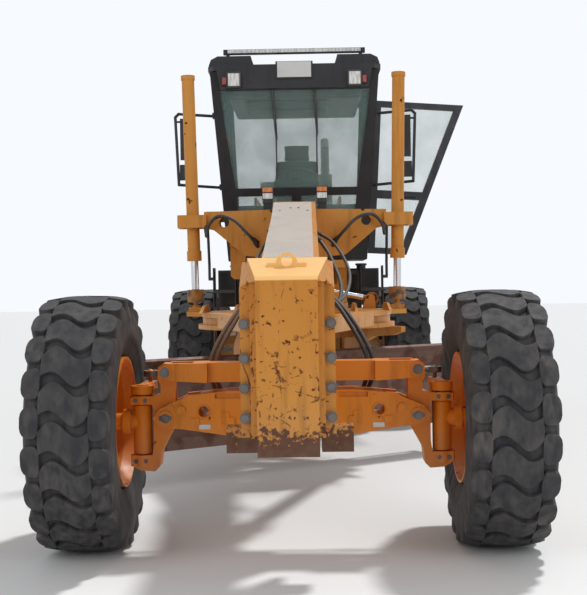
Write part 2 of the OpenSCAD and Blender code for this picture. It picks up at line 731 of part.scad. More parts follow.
module cab_frame() {
    bar_z = 2250;
    color(black) {
        difference() {
            intersection() {
                side_plate(behind(floor_z, roof_z, 0, cab_back), 2000);
                front_plate(cab_face(0), 3000, 6000);
            }
            intersection() {
                side_plate(behind(floor_z + 50, roof_z - 45, 55, cab_back - wall), 2000);
                front_plate([for (p = cab_face(wall)) [p[0], p[1] == floor_z ? floor_z - 1 : roof_z + 1]],
                    3000, 6000);
            }
            for (s = [-1, 1]) leaned(s) {
                side_plate(behind(floor_z + 60, roof_z - 110, 95, door_y - 15), 300, s * cab_w);
                side_plate([[door_y + 60, floor_z + 420], [door_y + 60, roof_z - 110],
                    [cab_back - 60, roof_z - 110], [cab_back - 60, floor_z + 420]], 300, s * cab_w);
            }
            front_plate([[-560, bar_z + 35], [560, bar_z + 35], [680, roof_z - 160],
                [-680, roof_z - 160]], 3800, 4800);
            for (s = [-1, 1]) front_plate([[s * 40, floor_z + 120], [s * 520, floor_z + 120],
                [s * 555, bar_z - 35], [s * 40, bar_z - 35]], 3800, 4800);
            front_plate([[-600, 2200], [600, 2200], [640, roof_z - 120], [-640, roof_z - 120]],
                cab_back - 100, cab_back + 100);
        }
        roof();
    }
}

module roof() {
    edge = [[-cab_w - 15, cab_back + 10], [-cab_w - 15, cab_front + 20], [-cab_w + 40, cab_front - 50],
        [cab_w - 40, cab_front - 50], [cab_w + 15, cab_front + 20], [cab_w + 15, cab_back + 10]];
    plan_plate(edge, roof_z, roof_z + 48);
    both() front_plate([[360, roof_z + 48], [385, roof_z + 130], [680, roof_z + 130],
        [740, roof_z + 100], [cab_w + 5, roof_z + 48]], cab_front - 30, cab_back - 20);
    front_plate([[-660, roof_z - 165], [660, roof_z - 165], [690, roof_z], [-690, roof_z]],
        cab_front - 50, cab_front - 10);
    span([-165, cab_front - 62, roof_z - 85], [165, cab_front - 50, roof_z + 70]);
}

module cab_glass() {
    color(glass) {
        intersection() {
            side_plate(concat([for (z = [roof_z - 155, 1735]) [slope_y(z) + 20, z]],
                [for (z = [1735, roof_z - 155]) [slope_y(z) + 27, z]]), 2000);
            union() {
                front_plate([[-560 + fit, 2285 + fit], [560 - fit, 2285 + fit],
                    [680 - fit, roof_z - 160 - fit], [-680 + fit, roof_z - 160 - fit]], 3800, 4800);
                for (s = [-1, 1]) front_plate([[s * (40 + fit), floor_z + 120 + fit],
                    [s * (520 - fit), floor_z + 120 + fit], [s * (555 - fit), 2215 - fit],
                    [s * (40 + fit), 2215 - fit]], 3800, 4800);
            }
        }
        front_plate([[-600 + fit, 2200 + fit], [600 - fit, 2200 + fit],
            [640 - fit, roof_z - 120 - fit], [-640 + fit, roof_z - 120 - fit]],
            cab_back - 26, cab_back - 20);
        for (s = [-1, 1]) leaned(s) side_plate([[door_y + 60 + fit, floor_z + 420 + fit],
            [door_y + 60 + fit, roof_z - 110 - fit], [cab_back - 60 - fit, roof_z - 110 - fit],
            [cab_back - 60 - fit, floor_z + 420 + fit]], 6, s * (cab_w - 22));
    }
}

door_top = behind(2310, roof_z - 176, 175, door_y - 85);
door_foot = behind(floor_z + 126, 2230, 175, door_y - 85);

module cab_door(s) {
    leaned(s) color(black) {
        difference() {
            side_plate(behind(floor_z + 60 + gap, roof_z - 110 - gap, 95 + gap, door_y - 15 - gap),
                40, s * (cab_w - 20));
            side_plate(door_top, 200, s * cab_w);
            side_plate(door_foot, 200, s * cab_w);
        }
        for (z = [1800, 2400, 3050]) {
            translate([s * (cab_w + 12), door_y - 8, z]) cylinder(r = 11.7, h = 90);
            span([s * (cab_w - 2), door_y - 60, z + 20], [s * (cab_w + 8), door_y - 26, z + 70]);
            span([s * (cab_w + 0.5), door_y - 60, z + 20], [s * (cab_w + 8), door_y - 8, z + 70]);
        }
        span([s * (cab_w - 75), 4520, 2255], [s * (cab_w - 40), 4640, 2285]);
    }
}

module door_glass(s) {
    leaned(s) color(glass) {
        side_plate([for (p = door_top) p], 6, s * (cab_w - 20));
        side_plate(door_foot, 6, s * (cab_w - 20));
    }
}

module opened() {
    leaned(1) translate([cab_w + 12, door_y - 8, 0]) rotate([0, 0, door_turn])
        translate([-cab_w - 12, 8 - door_y, 0]) leaned_back() children();
}

module leaned_back() {
    translate([cab_w, 0, roof_z]) rotate([0, -cab_lean, 0]) translate([-cab_w, 0, -roof_z]) children();
}

module operator_seat() {
    z = floor_z + 50;
    color([0.15, 0.15, 0.16]) {
        translate([0, 4900, z + fit]) cylinder(r = 150, h = 220);
        side_plate([[4720, z + 220], [4720, z + 330], [4760, z + 370], [5080, z + 345],
            [5150, z + 220]], 460, 0, 20);
        side_plate([[5060, z + 290], [5150, z + 960], [5230, z + 960], [5190, z + 290]], 440, 0, 20);
        side_plate([[5155, z + 940], [5170, z + 1110], [5235, z + 1110], [5235, z + 940]], 260, 0, 20);
        both() side_plate([[4800, z + 520], [4800, z + 560], [5120, z + 575], [5120, z + 520]],
            70, 270);
        both() side_plate([[5060, z + 250], [5060, z + 540], [5120, z + 540], [5120, z + 250]],
            50, 255);
    }
}

module steering_console() {
    z = floor_z + 50;
    color([0.12, 0.12, 0.13]) {
        side_plate([[4640, z + fit], [4560, z + 560], [4600, z + 640], [4700, z + 600], [4705, z + fit]],
            170);
        side_plate([[4560, z + 540], [4530, z + 640], [4600, z + 720], [4690, z + 690],
            [4700, z + 560]], 420, 0, 20);
        translate([0, 4660, z + 740]) rotate([-20, 0, 0]) {
            rotate_extrude() translate([190, 0]) circle(r = 15, $fn = 24);
            cylinder(r = 45, h = 40, center = true);
            translate([0, 0, -60]) cylinder(r = 20, h = 60);
            for (a = [0, 120, 240]) rotate([0, 0, a + 30]) span([30, -12, -6], [185, 12, 6]);
        }
    }
    color(grey) both() for (i = [0:3]) translate([60 + 42 * i, 4640, z + 680])
        rotate([-15, 0, 0]) cylinder(r = 6, h = 150, $fn = 24);
}

module cab_steps() {
    color(black) both() {
        for (z = [480, 760, 1040, 1320]) span([600, step_y, z], [800, step_y + 240, z + 30]);
        for (x = [[592, 600], [800, 808]]) side_plate([[step_y, 470], [step_y, 1560],
            [step_y + 240, 1560], [step_y + 240, 470]], x[1] - x[0], (x[0] + x[1]) / 2);
        for (z = [1150, 1480]) span([445 + fit, step_y + 70, z], [592, step_y + 170, z + 40]);
        span([802, step_y + 2, 1440], [850, step_y + 20, 1470]);
        tube([[840, step_y + 11, 1455], [840, step_y + 11, 1600], [840, step_y - 110, 1980],
            [684, step_y - 100, 2000]], 13);
        leaned(1) span([cab_w + fit, 4420, 1980], [cab_w + 10, 4460, 2030]);
    }
}

module roof_lamps() {
    top = roof_z + 130;
    color(black) {
        span([-640, 4080, top + 50], [640, 4130, top + 92]);
        both() span([585, 4085, top + fit], [615, 4125, top + 50]);
    }
    color(lens) span([-600, 4070, top + 56], [600, 4080 - fit, top + 86]);
    both() {
        color(lens) span([480, cab_front - 90, 3150], [590, cab_front - 50 - fit, 3270]);
        color([0.6, 0.05, 0.03]) span([600, cab_front - 85, 3165], [640, cab_front - 50 - fit, 3235]);
    }
}

module mirrors() {
    color(black) both() {
        tube([[745, 4118, 2930], [1040, 3960, 2930], [1070, 3960, 2900], [1050, 3990, 2300],
            [708, 4328, 2300]], 13);
        for (p = [[4118, 2930], [4328, 2300]]) leaned(1) span([cab_w + fit, p[0] - 20, p[1] - 25],
            [cab_w + 17, p[0] + 20, p[1] + 28]);
        span([930, 3965, 2520], [1030, 3995, 2890]);
        tube([[1066, 3960, 2860], [980, 3980, 2860]], 9);
        span([960, 3985, 2340], [1040, 4005, 2480]);
    }
}

module exhaust_stack() {
    color(grey) {
        translate([300, 6300, 1980 + fit]) cylinder(r = 76, h = 620);
        translate([300, 6300, 2590]) cylinder(r = 45, h = 300);
        translate([300, 6300, 2880]) rotate([-30, 0, 0]) cylinder(r = 45, h = 120);
        translate([-300, 6300, 1980 + fit]) cylinder(r = 76, h = 420);
        translate([-300, 6300, 2390]) cylinder(r = 120, h = 130);
    }
}

rear_frame();
engine_block();
hood();
side_tanks();
cab_frame();
cab_glass();
operator_seat();
steering_console();
cab_steps();
roof_lamps();
mirrors();
exhaust_stack();
rear_axle();
hood_door(1);  // hood_door_left
hood_door(-1);  // hood_door_right
opened() cab_door(1);  // cab_door_left
opened() door_glass(1);  // door_glass_left
cab_door(-1);  // cab_door_right
door_glass(-1);  // door_glass_right
tandem(1);  // tandem_left
tandem(-1);  // tandem_right
wheel_at(1, 0) rim();  // rim_front_left
wheel_at(-1, 0) rim();  // rim_front_right
wheel_at(1, tandem_y[0]) rim();  // rim_mid_left
wheel_at(-1, tandem_y[0]) rim();  // rim_mid_right
wheel_at(1, tandem_y[1]) rim();  // rim_rear_left
wheel_at(-1, tandem_y[1]) rim();  // rim_rear_right
wheel_at(1, 0) tyre();  // tyre_front_left
wheel_at(-1, 0) tyre();  // tyre_front_right
wheel_at(1, tandem_y[0]) tyre();  // tyre_mid_left
wheel_at(-1, tandem_y[0]) tyre();  // tyre_mid_right
wheel_at(1, tandem_y[1]) tyre();  // tyre_rear_left
wheel_at(-1, tandem_y[1]) tyre();  // tyre_rear_right
front_frame();
push_block();
headlamps();
front_axle();
wheel_bracket(1);  // wheel_bracket_left
wheel_bracket(-1);  // wheel_bracket_right
knuckle(1);  // knuckle_left
knuckle(-1);  // knuckle_right
lean_bar();
tie_rod_ball();
tie_rod();
drawbar();
blade_circle();  // circle
blade_carrier();
moldboard();
lift_barrel(1);  // lift_barrel_left
lift_barrel(-1);  // lift_barrel_right
lift_rod(1);  // lift_rod_left
lift_rod(-1);  // lift_rod_right
shift_barrel();
shift_rod();
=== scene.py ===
import math
import bmesh
import bpy
from mathutils import Matrix, Vector


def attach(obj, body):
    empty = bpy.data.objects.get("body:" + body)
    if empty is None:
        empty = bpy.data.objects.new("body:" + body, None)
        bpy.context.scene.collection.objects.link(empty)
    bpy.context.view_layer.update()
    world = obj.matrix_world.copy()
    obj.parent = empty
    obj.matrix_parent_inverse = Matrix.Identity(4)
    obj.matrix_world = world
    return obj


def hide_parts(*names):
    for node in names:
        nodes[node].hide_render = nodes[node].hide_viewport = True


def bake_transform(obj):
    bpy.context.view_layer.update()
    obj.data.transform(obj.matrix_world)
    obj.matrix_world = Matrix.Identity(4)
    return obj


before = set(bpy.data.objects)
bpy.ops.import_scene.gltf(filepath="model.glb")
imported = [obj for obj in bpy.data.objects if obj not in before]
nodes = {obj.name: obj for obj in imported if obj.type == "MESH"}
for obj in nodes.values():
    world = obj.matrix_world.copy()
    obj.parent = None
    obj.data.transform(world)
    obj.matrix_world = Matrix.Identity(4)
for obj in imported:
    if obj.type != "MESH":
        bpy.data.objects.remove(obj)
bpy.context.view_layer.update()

# Camera, lights and floor, in metres and degrees

view = {"eye": (0.10, -5.8, 1.39), "yaw": 0.81, "tilt": -0.68, "roll": -0.9, "lens": 66.91, "sensor": 36}


def makeCamera():
    data = bpy.data.cameras.new("photoCamera")
    data.sensor_fit = "HORIZONTAL"
    data.sensor_width = view["sensor"]
    data.lens = view["lens"]
    cam = bpy.data.objects.new("photoCamera", data)
    turn = (Matrix.Rotation(math.radians(view["yaw"]), 4, "Z")
            @ Matrix.Rotation(math.radians(90 + view["tilt"]), 4, "X")
            @ Matrix.Rotation(math.radians(view["roll"]), 4, "Z"))
    cam.matrix_world = Matrix.Translation(view["eye"]) @ turn
    bpy.context.scene.collection.objects.link(cam)
    bpy.context.scene.camera = cam


# The sun stands high behind the machine, so its shadow falls towards the viewer
light = {
    "sun": 2.1, "sunTurn": (-24, 20, 0), "sunAngle": 5,
    "fill": 160, "fillSize": 5, "fillX": 6, "fillY": -6, "fillZ": 4.5, "fillAim": (0, 2, 1),
    "sky": 0.45, "skyColour": (0.93, 0.96, 1.0)}


def makeLights():
    scene = bpy.context.scene
    scene.view_settings.view_transform = "Standard"
    sun = bpy.data.lights.new("keySun", "SUN")
    sun.energy = light["sun"]
    sun.angle = math.radians(light["sunAngle"])
    sunObj = bpy.data.objects.new("keySun", sun)
    sunObj.rotation_euler = [math.radians(a) for a in light["sunTurn"]]
    scene.collection.objects.link(sunObj)
    for x in (-light["fillX"], light["fillX"]):
        area = bpy.data.lights.new("softBox", "AREA")
        area.energy = light["fill"]
        area.size = light["fillSize"]
        areaObj = bpy.data.objects.new("softBox", area)
        areaObj.location = (x, light["fillY"], light["fillZ"])
        aim = Vector(light["fillAim"]) - areaObj.location
        areaObj.rotation_euler = aim.to_track_quat("-Z", "Y").to_euler()
        scene.collection.objects.link(areaObj)


def makeSky():
    world = bpy.data.worlds.new("studioSky")
    bpy.context.scene.world = world
    world.use_nodes = True
    tree = world.node_tree
    tree.nodes.clear()
    out = tree.nodes.new("ShaderNodeOutputWorld")
    back = tree.nodes.new("ShaderNodeBackground")
    back.inputs["Color"].default_value = (*light["skyColour"], 1)
    # The camera, glass and metal see a pale backdrop of strength 1, and the rest is lit at the sky's level
    path = tree.nodes.new("ShaderNodeLightPath")
    seen = maths(tree, "MAXIMUM", path.outputs["Is Camera Ray"], path.outputs["Is Transmission Ray"])
    seen = maths(tree, "MAXIMUM", seen, path.outputs["Is Glossy Ray"])
    tree.links.new(window(tree, seen, 0, 1, light["sky"], 1.0), back.inputs["Strength"])
    tree.links.new(back.outputs[0], out.inputs["Surface"])


floorLook = {"size": 60, "colour": (0.80, 0.80, 0.79), "rough": 0.85}


def makeFloor():
    bm = bmesh.new()
    bmesh.ops.create_grid(bm, x_segments=1, y_segments=1, size=floorLook["size"])
    mat, _, shader = newMaterial("paleFloor")
    shader.inputs["Base Color"].default_value = (*floorLook["colour"], 1)
    shader.inputs["Roughness"].default_value = floorLook["rough"]
    floor = meshObject("floorSheet", bm, [mat])
    print("camera, lights and floor made")


# Material helpers

def newMaterial(name):
    mat = bpy.data.materials.new(name)
    mat.use_nodes = True
    tree = mat.node_tree
    return mat, tree, tree.nodes["Principled BSDF"]


def noiseAt(tree, scale, detail=4, stretch=(1, 1, 1)):
    coord = tree.nodes.new("ShaderNodeTexCoord")
    place = tree.nodes.new("ShaderNodeMapping")
    place.inputs["Scale"].default_value = stretch
    noise = tree.nodes.new("ShaderNodeTexNoise")
    noise.inputs["Scale"].default_value = scale
    noise.inputs["Detail"].default_value = detail
    tree.links.new(coord.outputs["Object"], place.inputs["Vector"])
    tree.links.new(place.outputs[0], noise.inputs["Vector"])
    return noise.outputs["Fac"]


# From low to high in the source, the result goes from a to b
def window(tree, source, low, high, a=0.0, b=1.0):
    node = tree.nodes.new("ShaderNodeMapRange")
    node.inputs["From Min"].default_value = low
    node.inputs["From Max"].default_value = high
    node.inputs["To Min"].default_value = a
    node.inputs["To Max"].default_value = b
    tree.links.new(source, node.inputs["Value"])
    return node.outputs[0]


def maths(tree, kind, a, b):
    node = tree.nodes.new("ShaderNodeMath")
    node.operation = kind
    node.use_clamp = True
    for i, value in enumerate((a, b)):
        if isinstance(value, (int, float)):
            node.inputs[i].default_value = value
        else:
            tree.links.new(value, node.inputs[i])
    return node.outputs[0]


def mixColour(tree, factor, a, b):
    node = tree.nodes.new("ShaderNodeMix")
    node.data_type = "RGBA"
    tree.links.new(factor, node.inputs[0])
    for i, value in ((6, a), (7, b)):  # the two colour sockets of a Mix node
        if isinstance(value, tuple):
            node.inputs[i].default_value = (*value, 1)
        else:
            tree.links.new(value, node.inputs[i])
    return node.outputs[2]


# A ramp along one axis of the machine, in metres
def along(tree, axis, low, high, a=1, b=0):
    coord = tree.nodes.new("ShaderNodeTexCoord")
    split = tree.nodes.new("ShaderNodeSeparateXYZ")
    tree.links.new(coord.outputs["Object"], split.inputs[0])
    return window(tree, split.outputs[axis], low, high, a, b)


def bumpy(tree, shader, height, strength, distance=0.004):
    bump = tree.nodes.new("ShaderNodeBump")
    bump.inputs["Strength"].default_value = strength
    bump.inputs["Distance"].default_value = distance
    tree.links.new(height, bump.inputs["Height"])
    tree.links.new(bump.outputs[0], shader.inputs["Normal"])


def darker(colour, share):
    return tuple(share * c for c in colour)


# Paint: rust shows where the wear passes "rust", and dust lies up to the height "dustTop"

paintLooks = {
    "ochrePaint": {"base": (0.56, 0.215, 0.024), "faded": (0.60, 0.265, 0.050), "rust": 0.72, "dust": 0.30,
                   "rough": 0.42, "dustTop": 1.3},
    "orangePaint": {"base": (0.78, 0.215, 0.008), "faded": (0.70, 0.225, 0.014), "rust": 0.73, "dust": 0.22,
                    "rough": 0.38, "dustTop": 0.7},
    "scrapedPaintAndHighlight": {"base": (0.50, 0.185, 0.020), "faded": (0.55, 0.235, 0.042), "rust": 0.755, "dust": 0.22,
                     "rough": 0.46, "dustTop": 0.9},
    "blackPaint": {"base": (0.020, 0.020, 0.022), "faded": (0.035, 0.035, 0.038), "rust": 0.74,
                   "dust": 0.25, "rough": 0.36, "dustTop": 1.6},
}
rustColour = (0.080, 0.022, 0.010)
dustColour = (0.42, 0.33, 0.24)
paintGloss = 0.28

# Wear and a painted highlight on the nose block: the front face is scraped, its foot is eaten to rust, and
# its top plate is painted pale as a painted highlight where the sun strikes it
noseWearAndHighlight = {
    "frontY": (-0.925, -0.900), "scrapedZ": (0.68, 1.10), "eatenZ": (0.63, 0.78), "cleanZ": (1.385, 1.400),
    "highlightZ": (1.408, 1.414), "highlightColour": (0.86, 0.50, 0.17), "plateY": (-0.95, -0.64),
    "plateHalf": (0.140, 0.190), "gouges": ((2.6, (2.2, 1, 0.5)), (3.4, (0.6, 1, 1.6)))}


# A painted highlight: the top plate, inside its outline and above its edge, is painted pale where the sun
# strikes it
def paintNoseTopHighlight(tree, colour):
    spread = maths(tree, "MAXIMUM", along(tree, "X", 0, 1, 0, 1), along(tree, "X", -1, 0, 1, 0))
    inside = maths(tree, "LESS_THAN", spread, along(tree, "Y", *noseWearAndHighlight["plateY"], *noseWearAndHighlight["plateHalf"]))
    top = maths(tree, "MULTIPLY", inside, along(tree, "Z", *noseWearAndHighlight["highlightZ"], 0, 1))
    return mixColour(tree, top, colour, noseWearAndHighlight["highlightColour"])


def scrapeNose(tree, look, worn, chips):
    worn = maths(tree, "SUBTRACT", worn, along(tree, "Y", *noseWearAndHighlight["frontY"], 0, 0.10))
    worn = maths(tree, "ADD", worn, along(tree, "Z", *noseWearAndHighlight["scrapedZ"], 0.09, 0))
    patch = window(tree, noiseAt(tree, 4.5, 3, (1, 1, 0.7)), 0.50, 0.70, 0, 0.07)
    rust = window(tree, maths(tree, "ADD", worn, patch), look["rust"], look["rust"] + 0.025)
    foot = maths(tree, "MULTIPLY", along(tree, "Z", *noseWearAndHighlight["eatenZ"]), 0.42)
    eaten = maths(tree, "ADD", foot, maths(tree, "MULTIPLY", worn, 0.9))
    rust = maths(tree, "MAXIMUM", rust, window(tree, eaten, 0.60, 0.70))
    for scale, stretch in noseWearAndHighlight["gouges"]:
        line = noiseAt(tree, scale, 1, stretch)
        band = maths(tree, "MULTIPLY", window(tree, line, 0.5, 0.508, 1, 0), window(tree, line, 0.492, 0.5))
        broken = window(tree, chips, 0.50, 0.56)
        rust = maths(tree, "MAXIMUM", rust, maths(tree, "MULTIPLY", band, broken))
    return maths(tree, "MULTIPLY", rust, along(tree, "Z", *noseWearAndHighlight["cleanZ"]))


def paintMaterial(name):
    look = paintLooks[name]
    scraped = name == "scrapedPaintAndHighlight"
    mat, tree, shader = newMaterial(name)
    finer = 3.0 if scraped else 1
    broad = noiseAt(tree, 1.7, 5)
    grain = noiseAt(tree, 9 * finer, 8)
    chips = noiseAt(tree, 16 * finer, 10)
    runs = noiseAt(tree, 22, 6, (1, 1, 0.12))  # drawn out in height, as rain leaves them
    colour = mixColour(tree, window(tree, broad, 0.35, 0.65), look["base"], look["faded"])
    colour = mixColour(tree, window(tree, runs, 0.52, 0.80, 0, 0.55), colour, darker(look["base"], 0.35))
    worn = maths(tree, "MULTIPLY", chips, window(tree, grain, 0.3, 0.6, 0.7, 1.15))
    if scraped:
        # the top plate gets its painted highlight, and the face its scrapes and rust
        colour = paintNoseTopHighlight(tree, colour)
        rust = scrapeNose(tree, look, worn, chips)
    else:
        rust = window(tree, worn, look["rust"], look["rust"] + 0.035)
    colour = mixColour(tree, rust, colour, rustColour)
    dusty = maths(tree, "MULTIPLY", along(tree, "Z", 0.3, look["dustTop"]),
                  window(tree, grain, 0.35, 0.7, 0.2, look["dust"] * 2))
    colour = mixColour(tree, dusty, colour, dustColour)
    tree.links.new(colour, shader.inputs["Base Color"])
    smooth = window(tree, grain, 0.3, 0.7, look["rough"] - 0.08, look["rough"] + 0.14)
    tree.links.new(maths(tree, "ADD", maths(tree, "MULTIPLY", rust, 0.4), smooth), shader.inputs["Roughness"])
    shader.inputs["Specular IOR Level"].default_value = paintGloss
    pitted = maths(tree, "SUBTRACT", maths(tree, "MULTIPLY", grain, 0.25), maths(tree, "MULTIPLY", rust, 0.3))
    bumpy(tree, shader, pitted, 0.35)
    return mat


# Other finishes

def metalMaterial(name, colour, metallic, rough, streak=0.0, dark=0.4):
    mat, tree, shader = newMaterial(name)
    grain = noiseAt(tree, 30, 6)
    spots = noiseAt(tree, 6, 8)
    tone = mixColour(tree, window(tree, spots, 0.48, 0.66, 0, dark), colour, darker(colour, 0.4))
    if streak:
        tone = mixColour(tree, window(tree, spots, 0.50, 0.60, 0, streak), tone, rustColour)
    tree.links.new(tone, shader.inputs["Base Color"])
    shader.inputs["Metallic"].default_value = metallic
    tree.links.new(window(tree, grain, 0.3, 0.7, rough - 0.06, rough + 0.1), shader.inputs["Roughness"])
    bumpy(tree, shader, grain, 0.12, 0.002)
    return mat


# A cylinder's rod is bright, and its eye is painted from "painted" on
rodLook = {"chrome": (0.60, 0.60, 0.62), "paint": (0.36, 0.145, 0.022), "grime": (0.07, 0.045, 0.03)}


def rodMaterial(name, axis, bright, painted):
    mat, tree, shader = newMaterial(name)
    eye = along(tree, axis, bright, painted, 0, 1)
    streaks = noiseAt(tree, 40, 6, (1, 1, 0.1))
    spots = noiseAt(tree, 18, 8)
    paint = mixColour(tree, window(tree, spots, 0.45, 0.62), rodLook["paint"], rodLook["grime"])
    tree.links.new(mixColour(tree, eye, rodLook["chrome"], paint), shader.inputs["Base Color"])
    tree.links.new(window(tree, eye, 0, 1, 1, 0), shader.inputs["Metallic"])
    smear = window(tree, streaks, 0.4, 0.7, 0.10, 0.24)
    rough = maths(tree, "ADD", smear, maths(tree, "MULTIPLY", eye, 0.4))
    tree.links.new(rough, shader.inputs["Roughness"])
    bumpy(tree, shader, maths(tree, "MULTIPLY", spots, eye), 0.25, 0.002)
    return mat


tyreLook = {"base": (0.022, 0.022, 0.026), "dust": (0.105, 0.095, 0.085), "rough": 0.82}


def tyreMaterial():
    mat, tree, shader = newMaterial("tyreRubber")
    broad = noiseAt(tree, 4, 8)
    scuff = noiseAt(tree, 26, 10, (1, 1, 0.4))
    dusty = maths(tree, "MULTIPLY", window(tree, broad, 0.35, 0.7, 0.25, 0.9),
                  window(tree, scuff, 0.35, 0.68))
    tree.links.new(mixColour(tree, dusty, tyreLook["base"], tyreLook["dust"]), shader.inputs["Base Color"])
    shader.inputs["Roughness"].default_value = tyreLook["rough"]
    bumpy(tree, shader, scuff, 0.5, 0.004)
    return mat


plasticDust = (0.22, 0.19, 0.16)


def plasticMaterial(name, colour, rough, scale=120, strength=0.25, dirt=0.25):
    mat, tree, shader = newMaterial(name)
    grain = noiseAt(tree, scale, 3)
    dust = noiseAt(tree, 5, 6)
    tone = mixColour(tree, window(tree, dust, 0.45, 0.75, 0, dirt), colour, plasticDust)
    tree.links.new(tone, shader.inputs["Base Color"])
    tree.links.new(window(tree, dust, 0.3, 0.7, rough - 0.05, rough + 0.1), shader.inputs["Roughness"])
    bumpy(tree, shader, grain, strength, 0.001)
    return mat


def glassMaterial(name, colour, alpha):
    mat, tree, shader = newMaterial(name)
    film = noiseAt(tree, 3, 8)
    shader.inputs["Base Color"].default_value = (*colour, 1)
    shader.inputs["Roughness"].default_value = 0.04
    shader.inputs["Specular IOR Level"].default_value = 0.6
    tree.links.new(window(tree, film, 0.35, 0.75, alpha - 0.05, alpha + 0.10), shader.inputs["Alpha"])
    return mat


clothLook = {"dark": (0.025, 0.026, 0.030), "light": (0.075, 0.078, 0.085), "threads": 320, "sheen": 0.3}


def wovenMaterial():
    mat, tree, shader = newMaterial("seatCloth")
    warp = noiseAt(tree, clothLook["threads"], 2, (1, 0.3, 1))
    weft = noiseAt(tree, clothLook["threads"], 2, (0.3, 1, 1))
    weave = maths(tree, "MULTIPLY", warp, weft)
    tone = mixColour(tree, window(tree, weave, 0.15, 0.35), clothLook["dark"], clothLook["light"])
    tree.links.new(tone, shader.inputs["Base Color"])
    shader.inputs["Roughness"].default_value = 0.9
    shader.inputs["Sheen Weight"].default_value = clothLook["sheen"]
    bumpy(tree, shader, weave, 0.6, 0.002)
    return mat


def lensMaterial(name, colour):
    mat, tree, shader = newMaterial(name)
    flutes = noiseAt(tree, 60, 1, (1, 0.2, 0.2))
    tone = mixColour(tree, window(tree, flutes, 0.4, 0.6), colour, darker(colour, 0.72))
    tree.links.new(tone, shader.inputs["Base Color"])
    shader.inputs["Roughness"].default_value = 0.12
    shader.inputs["Coat Weight"].default_value = 0.6
    bumpy(tree, shader, flutes, 0.3, 0.002)
    return mat


looks = {}


def makeMaterials():
    for name in paintLooks:
        looks[name] = paintMaterial(name)
    looks["tyre"] = tyreMaterial()
    looks["liftRod"] = rodMaterial("liftRodFinish", "Z", 1.366, 1.364)
    looks["shiftRod"] = rodMaterial("shiftRodFinish", "X", 0.540, 0.542)
    looks["steel"] = metalMaterial("sootySteel", (0.20, 0.19, 0.18), 0.8, 0.5, 0.5)
    looks["bolt"] = metalMaterial("boltSteel", (0.16, 0.14, 0.13), 0.9, 0.45, 0.35)
    looks["blade"] = metalMaterial("wornBlade", (0.17, 0.10, 0.075), 0.6, 0.55, 0.6)
    looks["glass"] = glassMaterial("tintedGlass", (0.25, 0.38, 0.36), 0.26)
    looks["mirrorGlass"] = metalMaterial("mirrorGlass", (0.75, 0.78, 0.80), 1.0, 0.07, dark=0.05)
    looks["cloth"] = wovenMaterial()
    looks["plastic"] = plasticMaterial("mouldedPlastic", (0.035, 0.035, 0.037), 0.5)
    looks["hose"] = plasticMaterial("hoseRubber", (0.022, 0.022, 0.024), 0.55, 300, 0.15)
    looks["dustyHose"] = plasticMaterial("dustyHoseRubber", (0.17, 0.095, 0.055), 0.7, 200, 0.2)
    looks["lens"] = lensMaterial("clearLens", (0.80, 0.80, 0.76))
    looks["amber"] = lensMaterial("amberLens", (0.75, 0.20, 0.02))
    looks["red"] = lensMaterial("redLens", (0.45, 0.03, 0.02))
    # The gooseneck cover's pale cream is a painted highlight of the sun's glare on its sloping top
    looks["cream"] = plasticMaterial("sunGlareCover", (0.94, 0.91, 0.85), 0.42, 30, 0.15, 0.10)
    looks["plate"] = plasticMaterial("blankPlate", (0.62, 0.62, 0.60), 0.35, 60, 0.1)
    print("materials made")


# The start of a node's name gives its finish, and any other node is ochre
nodeLooks = {
    "tyre_": "tyre", "rim_": "orangePaint", "front_axle": "orangePaint", "lean_bar": "orangePaint",
    "wheel_bracket": "orangePaint", "knuckle": "orangePaint", "cab_glass": "glass", "door_glass": "glass",
    "cab_": "blackPaint", "side_tanks": "blackPaint", "mirrors": "blackPaint", "headlamps": "blackPaint",
    "roof_lamps": "blackPaint", "operator_seat": "cloth", "steering_console": "plastic",
    "lift_rod": "liftRod", "shift_rod": "shiftRod", "engine_block": "steel", "exhaust_stack": "steel",
    "tie_rod": "steel", "moldboard": "blade", "push_block": "scrapedPaintAndHighlight"}


def dressNodes():
    for name, obj in nodes.items():
        start = next((k for k in nodeLooks if name.startswith(k)), None)
        look = looks[nodeLooks[start]] if start else looks["ochrePaint"]
        for slot in obj.material_slots:
            slot.material = look
        if not obj.material_slots:
            obj.data.materials.append(look)
    print("nodes dressed")


# Mesh helpers

bevelAngle = 35
across = ((1, "left"), (-1, "right"))
forward = (0, -1, 0)
upward = (0, 0, 1)


def meshObject(name, bm, materials=()):
    mesh = bpy.data.meshes.new(name)
    bm.to_mesh(mesh)
    bm.free()
    obj = bpy.data.objects.new(name, mesh)
    bpy.context.scene.collection.objects.link(obj)
    for mat in materials:
        mesh.materials.append(mat)
    return obj


def piece(name, bm, look, body, bevel=0.0, smooth=True, segments=2):
    bmesh.ops.recalc_face_normals(bm, faces=bm.faces)
    obj = meshObject(name, bm, [looks[look]])
    for face in obj.data.polygons:
        face.use_smooth = smooth
    if bevel:
        cut = obj.modifiers.new("edges", "BEVEL")
        cut.width = bevel
        cut.segments = segments
        cut.limit_method = "ANGLE"
        cut.angle_limit = math.radians(bevelAngle)
        cut.harden_normals = True
    if body:
        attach(obj, body)
    return obj


def addBox(bm, low, high):
    low, high = Vector(low), Vector(high)
    made = bmesh.ops.create_cube(bm, size=1.0)["verts"]
    place = Matrix.Translation((low + high) / 2)
    bmesh.ops.transform(bm, matrix=place @ Matrix.Diagonal((*(high - low), 1)), verts=made)


def addRod(bm, start, end, r, sides=20):
    start, end = Vector(start), Vector(end)
    way = end - start
    made = bmesh.ops.create_cone(bm, cap_ends=True, segments=sides, radius1=r, radius2=r, depth=way.length)
    place = Matrix.Translation((start + end) / 2) @ way.to_track_quat("Z", "Y").to_matrix().to_4x4()
    bmesh.ops.transform(bm, matrix=place, verts=made["verts"])


